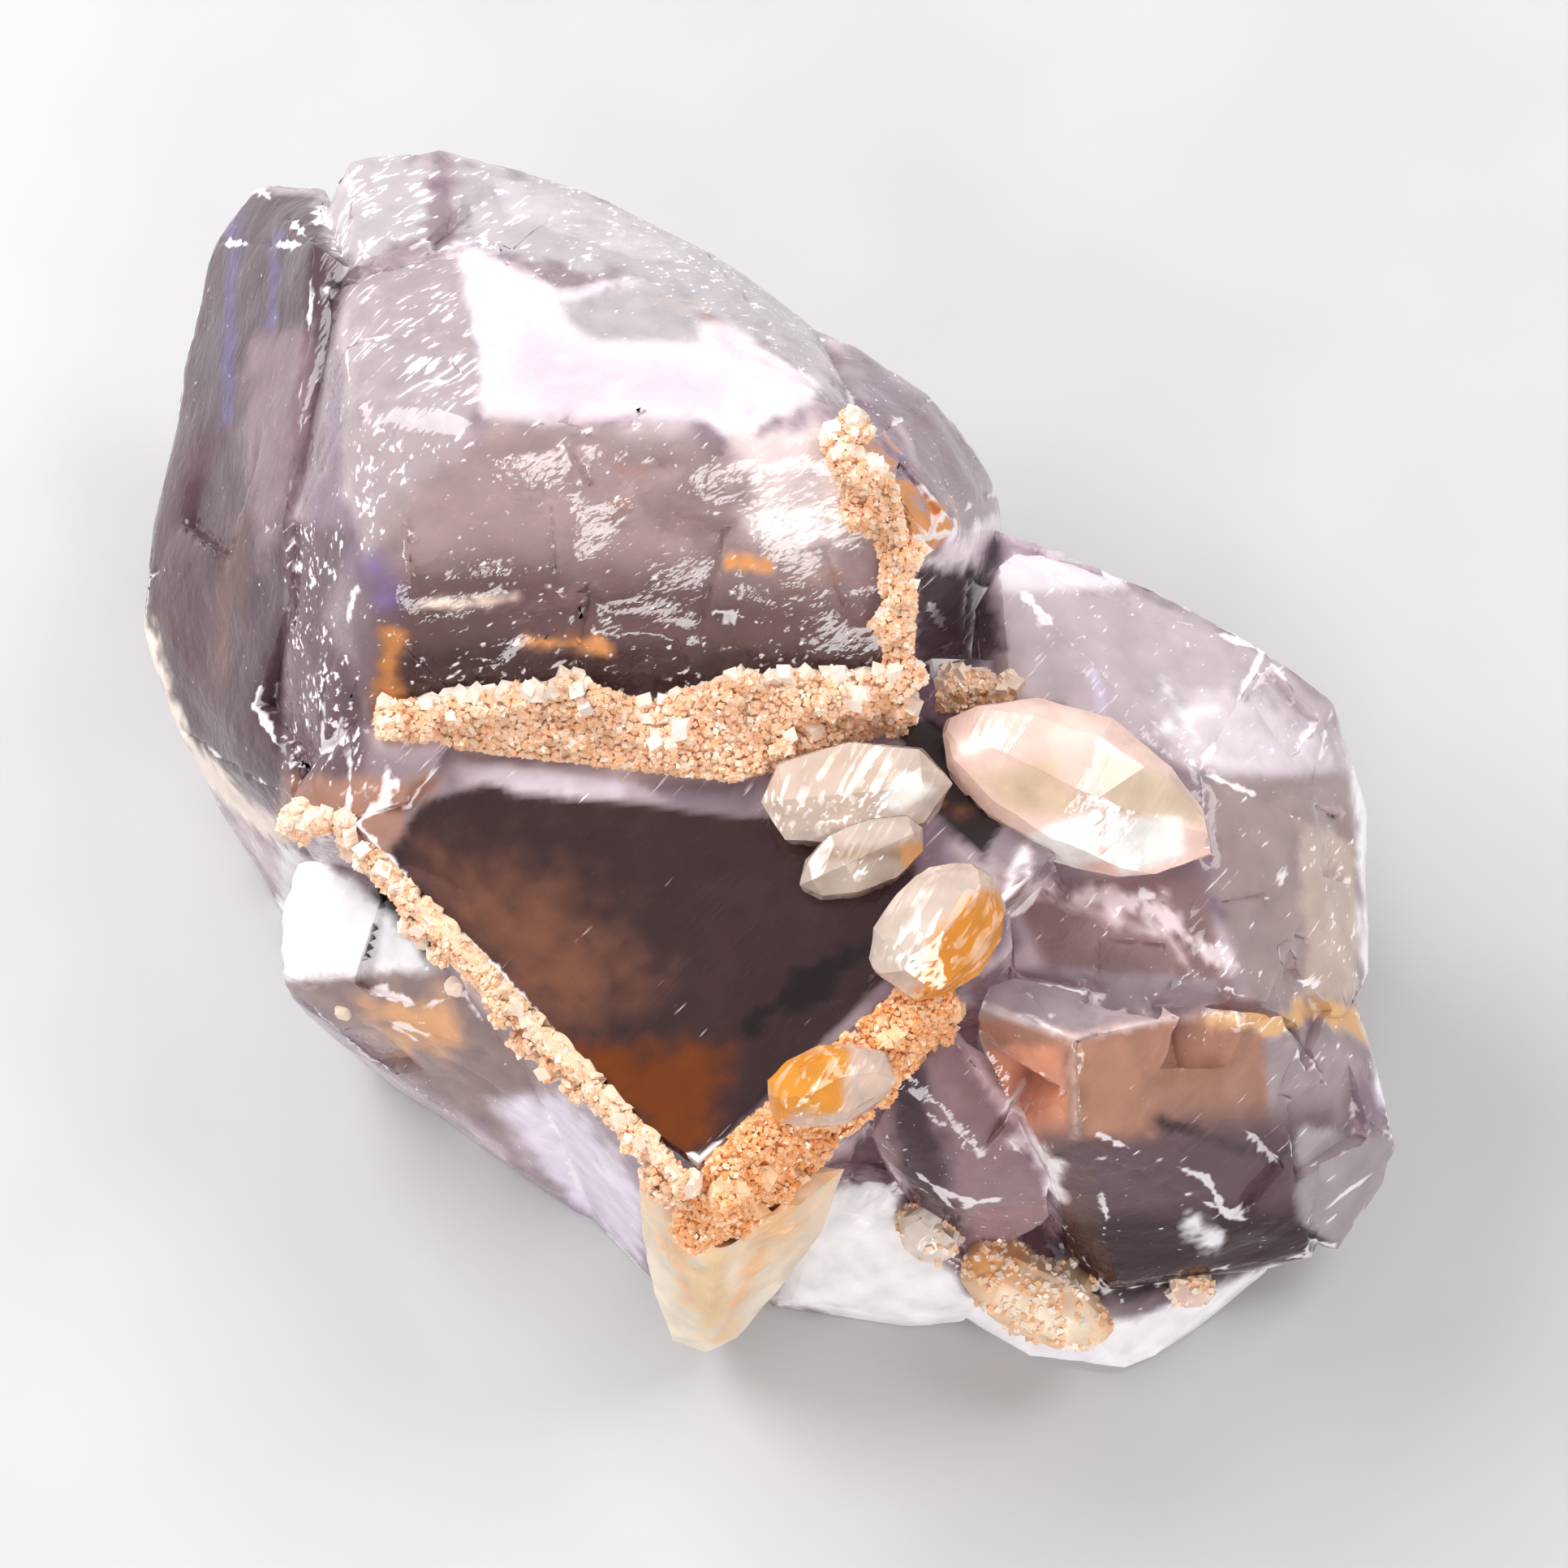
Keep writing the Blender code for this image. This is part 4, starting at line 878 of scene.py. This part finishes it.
def crust(name, look, ground, material, rng):
    """The crust's body, grown onto the fluorite, with its grains."""
    bm = whole_faces(name)
    bm.normal_update()
    spots = surface_spots(bm, look.count, rng)
    refine(bm, CRUST_EDGE, CRUST_EDGE)
    bm.normal_update()
    for vert in bm.verts:
        vert.co += vert.normal * (noise.noise(vert.co / (0.35 * MM)) * 0.12 - look.shrink) * MM
    nestle(bm, ground)
    tints = {}
    tint_layer = bm.verts.layers.float_color.new("tint")
    for vert in bm.verts:
        shade = noise.noise(vert.co / (1.2 * MM)) * 0.5 + 0.5
        tint = colour(*look.tints[0]) * shade + colour(*look.tints[4]) * (1 - shade)
        vert[tint_layer] = (*tint, 1)
    for place, normal in spots:
        nearest, _, _, distance = ground.find_nearest(place)
        if distance < BURIED_DEPTH and (nearest - place).dot(normal) > 0.5 * distance:
            continue
        place = place - normal * (look.shrink - 0.1) * MM
        size = rng.uniform(look.least, look.most) * MM
        tip = normal.dot(UPWARD) > 0.5 and rng.random() < TIP_SHARE
        key = "tip" if tip else rng.randrange(len(look.tints))
        if key not in tints:
            tints[key] = colour(*(look.tips if tip else look.tints[key]))
        add_grain(bm, tint_layer, place, size * (TIP_SIZE if tip else 1.0), tints[key], rng)
    for x, y, size in BEADS.get(name, []):
        place = ground.ray_cast(EYE, view_ray(x, y))[0]
        for vert in bmesh.ops.create_icosphere(bm, subdivisions=2, radius=size * PIXEL)["verts"]:
            vert.co = place + vert.co * (1 + noise.noise(vert.co / (0.3 * MM)) * 0.3)
            vert[tint_layer] = (*colour(*look.tips), 1)
    return new_piece(f"{name}_sugar", bm, material, "sugary_calcite", name)


def coating(name, count, shell, material, rng):
    """Loose sugary grains on a single crystal."""
    source = bmesh.new()
    source.from_mesh(shell.data)
    spots = surface_spots(source, count, rng)
    source.free()
    bm = bmesh.new()
    tint_layer = bm.verts.layers.float_color.new("tint")
    for place, normal in spots:
        if noise.noise(place / COATING_PATCH) < -0.05:
            continue
        tint = colour(*rng.choice(COATING_TINTS))
        size = rng.uniform(COATING_GRAIN_LEAST, COATING_GRAIN_MOST) * MM
        add_grain(bm, tint_layer, place, size, tint, rng)
    return new_piece(f"{name}_sugar", bm, material, "sugary_calcite")


# Single calcite crystals

CALCITE_EDGE_FRONT = 0.4 * MM
CALCITE_EDGE_BACK = 0.6 * MM
CALCITE_BEVEL = 0.12 * MM
CLEAR_LOOK = Zone([], (255, 222, 204), 0.5, 0.05, 0.2)
MILKY_LOOK = Zone([], (252, 213, 202), 0.12, 0.1, 0)
COATED_LOOK = Zone([], (250, 212, 178), 0.05, 0.4, 0)
FOOT_LOOK = Zone([], (255, 240, 218), 0.12, 0.25, 0)
CALCITES = {
    "calcite_large": (MILKY_LOOK, 4, [
        Zone([(1345, 925), (1460, 960), (1485, 1015), (1370, 1000)], (246, 214, 182), 0.35, 0.06, 0, 16, 6),
        # Painted reflections of the light: white patches on the lower facets
        Zone([(1262, 1030), (1340, 1000), (1356, 1060), (1300, 1078)], (255, 253, 252), 0, 0.06, 0, 4, 3),
        Zone([(1362, 1005), (1455, 1008), (1462, 1050), (1385, 1080), (1366, 1050)], (255, 253, 252), 0,
             0.06, 0, 4, 3),
        # A painted highlight: a thin white streak at the left end
        Zone([(1180, 920), (1235, 898), (1240, 906), (1188, 932)], (255, 250, 246), 0, 0.06, 0, 4, 3),
        Zone([(1200, 960), (1290, 930), (1330, 990), (1270, 1010)], (240, 204, 168), 0.3, 0.1, 0, 30, 16),
    ]),
    "calcite_striated_pair": (CLEAR_LOOK, 0, [
        Zone([(930, 960), (1080, 905), (1110, 960), (1040, 1020), (960, 1030)], (246, 210, 188),
             0.4, 0.05, 0.8, 10, 6),
        # A white patch painted as a highlight
        Zone([(1085, 985), (1110, 950), (1155, 975), (1100, 1000)], (255, 252, 250), 0.05, 0.05, 0, 4, 3),
        Zone([(1000, 1045), (1130, 1040), (1120, 1060), (1010, 1062)], (190, 150, 122), 0.5, 0.08, 0.2, 8, 4),
        Zone([(1110, 1045), (1170, 1030), (1150, 1070), (1110, 1070)], (240, 170, 104), 0.2, 0.2, 0, 24, 14),
    ]),
    "calcite_orange_upper": (CLEAR_LOOK, 13, [
        Zone([(1130, 1190), (1190, 1110), (1235, 1090), (1250, 1160), (1200, 1240), (1130, 1240)],
             (255, 140, 24), 0.4, 0.06, 0.3, 22, 14),
        Zone([(1080, 1140), (1130, 1090), (1160, 1120), (1110, 1190)], (255, 226, 206),
             0.45, 0.05, 0.9, 14, 8),
    ]),
    "calcite_orange_lower": (CLEAR_LOOK, 11, [
        Zone([(930, 1310), (990, 1285), (1050, 1290), (1030, 1370), (950, 1390)], (255, 146, 32), 0.4, 0.06,
             0.3, 20, 14),
    ]),
    "calcite_foot": (FOOT_LOOK, 0, [
        Zone([(800, 1450), (830, 1500), (850, 1600)], (250, 196, 148), 0.12, 0.25, 0, 30, 14, 8),
        Zone([(960, 1470), (930, 1560), (890, 1640)], (250, 192, 140), 0.12, 0.25, 0, 30, 14, 8),
        Zone([(780, 1440), (1040, 1440), (960, 1540), (820, 1530)], (255, 198, 140), 0.12, 0.25, 0.2, 80, 30),
        Zone([(850, 1560), (900, 1540), (890, 1640), (865, 1640)], (255, 212, 156), 0.2, 0.25, 0, 20, 14),
    ]),
    "calcite_bud": (COATED_LOOK, 9, [
        Zone([(1110, 1475), (1180, 1475), (1180, 1560), (1110, 1560)], (255, 240, 232), 0.1, 0.15, 0, 10, 6),
    ]),
    "calcite_coated": (COATED_LOOK, 6, [
        Zone([(1190, 1540), (1270, 1530), (1260, 1580), (1200, 1580)], (250, 184, 120), 0.05, 0.5, 0, 20, 10),
        Zone([(1230, 1590), (1350, 1620), (1340, 1660), (1250, 1640)], (255, 232, 206), 0.1, 0.3, 0, 14, 8),
    ]),
    "calcite_grain": (MILKY_LOOK, 9, []),
}
# Faces that throw the front light back at the viewer: normal and share of the crystal's reach
SHINING_FACES = {
    "calcite_large": [((0.09, -0.69, 0.72), 0.86), ((0.20, -0.68, 0.70), 0.87), ((-0.5, 0.05, 0.85), 0.93)],
    "calcite_orange_upper": [((0.08, -0.69, 0.72), 0.94)],
}
# Orange lumps in the two clear crystals: place and size in picture pixels, share of the way to the middle
HEARTS = {
    "calcite_orange_upper": [
        (1150, 1190, 30, 0.4), (1182, 1165, 34, 0.45), (1205, 1130, 28, 0.4), (1135, 1205, 20, 0.35),
        (1215, 1160, 24, 0.4), (1170, 1205, 24, 0.4), (1190, 1140, 30, 0.5)],
    "calcite_orange_lower": [
        (978, 1325, 26, 0.4), (1005, 1318, 26, 0.4), (1030, 1312, 20, 0.4), (965, 1350, 18, 0.35)],
}


def hull_of(points):
    bm = bmesh.new()
    verts = [bm.verts.new(point) for point in points]
    made = bmesh.ops.convex_hull(bm, input=verts)
    unused = made["geom_interior"] + made["geom_unused"]
    inner = {item for item in unused if isinstance(item, bmesh.types.BMVert)}
    bmesh.ops.delete(bm, geom=list(inner), context="VERTS")
    return bm


def faceted(bm, cuts, planes, rng):
    """The rounded crystal cut back to a few flat faces: some at random, some with a given normal."""
    directions = [(Vector(normal).normalized(), reach) for normal, reach in planes]
    for _ in range(cuts):
        normal = Vector((rng.gauss(0, 1), rng.gauss(0, 1), rng.gauss(0, 1))).normalized()
        directions.append((normal, rng.uniform(0.88, 0.96)))
    for normal, share in directions:
        centre = sum((vert.co for vert in bm.verts), Vector()) / len(bm.verts)
        reach = max((vert.co - centre).dot(normal) for vert in bm.verts)
        geometry = list(bm.verts) + list(bm.edges) + list(bm.faces)
        bmesh.ops.bisect_plane(
            bm, geom=geometry, plane_co=centre + normal * reach * share, plane_no=normal, clear_outer=True)
        points = [vert.co.copy() for vert in bm.verts]
        bm.free()
        bm = hull_of(points)
    bmesh.ops.dissolve_limit(bm, angle_limit=math.radians(2), verts=bm.verts, edges=bm.edges)
    return bm


def calcite(name, look, cuts, zones, ground, material, rng):
    bm = whole_faces(name)
    planes = SHINING_FACES.get(name, [])
    if cuts or planes:
        bm = faceted(bm, cuts, planes, rng)
    sharp = [edge for edge in bm.edges if edge.calc_face_angle(0) > SHARP_ANGLE]
    bmesh.ops.bevel(
        bm, geom=sharp, offset=CALCITE_BEVEL, segments=2, affect="EDGES", clamp_overlap=True)
    mark_sharp(bm)
    refine(bm, CALCITE_EDGE_FRONT, CALCITE_EDGE_BACK)
    bm.normal_update()
    for vert in bm.verts:
        vert.co += vert.normal * noise.fractal(vert.co / (1.3 * MM), 1.0, 2.0, 3) * 0.06 * MM
    nestle(bm, ground)
    piece = new_piece(f"{name}_crystal", bm, material, record_slot(name), name)
    paint(piece.data, look, zones)
    return piece


def hearts(name, lumps, shell, material):
    """Knobbly orange lumps below the surface of a clear crystal."""
    inside = surface_tree(shell.data)
    middle = Vector(point_arrays(shell.data)[0].mean(axis=0))
    bm = bmesh.new()
    for x, y, size, depth in lumps:
        ray = view_ray(x, y)
        hit = inside.ray_cast(EYE, ray)[0]
        if hit is None:
            continue
        spot = hit.lerp(middle, depth)
        radius = min(size * PIXEL, inside.find_nearest(spot)[3] * 0.8)
        for vert in bmesh.ops.create_icosphere(bm, subdivisions=4, radius=1)["verts"]:
            knobs = noise.fractal(vert.co * 2.2 + Vector((x, y, 0)), 1.0, 2.0, 3) * 0.3
            vert.co = spot + vert.co * radius * (1 + knobs)
    for face in bm.faces:
        face.smooth = True
    return new_piece(f"{name}_heart", bm, material, record_slot(name))


def record_slot(node):
    return next(part["material_slot"] for part in frame["record"]["subparts"] if part["node"] == node)


# Fractures and inclusions inside the fluorite


class Veil(NamedTuple):
    """A fracture as seen: its outline in the picture, how deep it lies and how much it waves, in mm."""

    outline: list
    depth: float
    wave: float = 0.25


VEILS = {
    "veil_main": Veil([
        (560, 295), (600, 312), (640, 330), (690, 360), (740, 350), (790, 345), (720, 372), (700, 400),
        (725, 420), (800, 425), (880, 455), (960, 450), (1012, 470), (1000, 500), (960, 510), (905, 550),
        (870, 520), (800, 512), (740, 515), (680, 525), (595, 515), (590, 440), (575, 370)], 0.9, 0.2),
    "veil_top": Veil([
        (600, 222), (700, 232), (790, 275), (860, 320), (800, 330), (700, 300), (620, 270)], 0.8, 0.3),
    "veil_front": Veil([
        (870, 560), (960, 540), (1050, 590), (1040, 650), (960, 660), (900, 620)], 0.8, 0.3),
    "veil_bridge": Veil([
        (1150, 680), (1230, 650), (1360, 700), (1370, 720), (1240, 730), (1160, 715)], 0.6, 0.2),
}


# Steps and raggedness of the sheets in picture pixels
VEIL_RIM_STEP = 9
VEIL_RAGGED = 2.5
VEIL_GRID_STEP = 11
VEIL_THICKNESS = 0.04 * MM


def resampled(outline, step, rng, ragged):
    """The outline with points every step pixels, each shifted a little."""
    made = []
    for start, end in zip(outline, outline[1:] + outline[:1]):
        start, end = Vector(start), Vector(end)
        pieces = max(1, round((end - start).length / step))
        for index in range(pieces):
            spot = start.lerp(end, index / pieces)
            made.append(spot + Vector((rng.uniform(-ragged, ragged), rng.uniform(-ragged, ragged))))
    return made


def veil(name, look, ground, material, rng):
    """A thin closed sheet inside the crystal, below the part of its surface inside the outline."""
    outline = resampled(look.outline, VEIL_RIM_STEP, rng, VEIL_RAGGED)
    spots = list(outline)
    xs, ys = [spot.x for spot in outline], [spot.y for spot in outline]
    step = VEIL_GRID_STEP
    grid = [
        Vector((x, y))
        for x in np.arange(min(xs) + step, max(xs), step)
        for y in np.arange(min(ys) + step, max(ys), step)
    ]
    inside = outline_distance(np.array([tuple(spot) for spot in grid]), [tuple(spot) for spot in outline])
    spots += [spot for spot, distance in zip(grid, inside) if distance > step / 2]
    edges = [(index, (index + 1) % len(outline)) for index in range(len(outline))]
    flat, _, faces, *_ = delaunay_2d_cdt(spots, edges, [list(range(len(outline)))], 1, 0.01)
    bm = bmesh.new()
    verts = []
    depths = []
    for spot in flat:
        ray = view_ray(spot.x, spot.y)
        hit = ground.ray_cast(EYE, ray)[0]
        depths.append((hit - EYE).length if hit else None)
    known = [depth for depth in depths if depth is not None]
    usual = sum(known) / len(known)
    for spot, depth in zip(flat, depths):
        ray = view_ray(spot.x, spot.y)
        waves = noise.fractal(Vector((spot.x / 60, spot.y / 40, 0)), 1.0, 2.0, 3) * look.wave * MM
        verts.append(bm.verts.new(EYE + ray * ((depth or usual) + look.depth * MM + waves)))
    for face in faces:
        bm.faces.new([verts[index] for index in face])
    for vert in bm.verts:
        near = [edge.other_vert(vert).co for edge in vert.link_edges]
        if near:
            vert.co = vert.co.lerp(sum(near, Vector()) / len(near), 0.5)
    bmesh.ops.recalc_face_normals(bm, faces=bm.faces)
    bmesh.ops.solidify(bm, geom=bm.faces, thickness=VEIL_THICKNESS)
    for face in bm.faces:
        face.smooth = True
    return new_piece(name, bm, material, "fluorite")


# Ochre specks inside the fluorite: place in the picture, size in the picture and depth in mm
INCLUSIONS = [
    (845, 385, 26, 12, 0.8), (875, 402, 18, 9, 0.7), (860, 425, 22, 8, 0.8), (775, 577, 18, 7, 0.6),
    (768, 622, 12, 18, 0.7), (808, 758, 12, 9, 0.4), (905, 695, 16, 8, 0.5), (990, 720, 22, 10, 0.5),
    (1020, 705, 14, 8, 0.5), (710, 785, 26, 8, 0.4), (745, 800, 14, 7, 0.4),
]
LUMPS_PER_SPECK = 9


def inclusions(ground, material, rng):
    """Clusters of small ochre lumps just below the surface."""
    bm = bmesh.new()
    for x, y, wide, high, depth in INCLUSIONS:
        for _ in range(LUMPS_PER_SPECK):
            ray = view_ray(x + rng.gauss(0, wide * 0.5), y + rng.gauss(0, high * 0.5))
            hit = ground.ray_cast(EYE, ray)[0]
            if hit is None:
                continue
            spot = hit + ray * (depth + rng.uniform(0, 0.3)) * MM
            made = bmesh.ops.create_icosphere(bm, subdivisions=2, radius=1)["verts"]
            size = rng.uniform(4, 9) * PIXEL
            for vert in made:
                lump = 1 + noise.noise(vert.co * 2 + spot * 3000) * 0.5
                vert.co = spot + Vector((vert.co.x * 1.4, vert.co.y, vert.co.z * 0.7)) * size * lump
    return new_piece("ochre_inclusions", bm, material, "orange_calcite")


def main():
    add_camera()
    add_light()
    add_floor()
    crystal = fluorite_material()
    block = fluorite(crystal)
    ground = surface_tree(block.data)
    sugar = sugar_material()
    for number, (name, look) in enumerate(CRUSTS.items()):
        crust(name, look, ground, sugar, random.Random(number))
    stone = calcite_material()
    heart = heart_material()
    for number, (name, (look, cuts, zones)) in enumerate(CALCITES.items()):
        shell = calcite(name, look, cuts, zones, ground, stone, random.Random(40 + number))
        if name in HEARTS:
            hearts(name, HEARTS[name], shell, heart)
        if name in COATED:
            coating(name, COATED[name], shell, sugar, random.Random(60 + number))
    silk = veil_material()
    for number, (name, look) in enumerate(VEILS.items()):
        veil(name, look, ground, silk, random.Random(80 + number))
    inclusions(ground, ochre_material(), random.Random(120))


main()
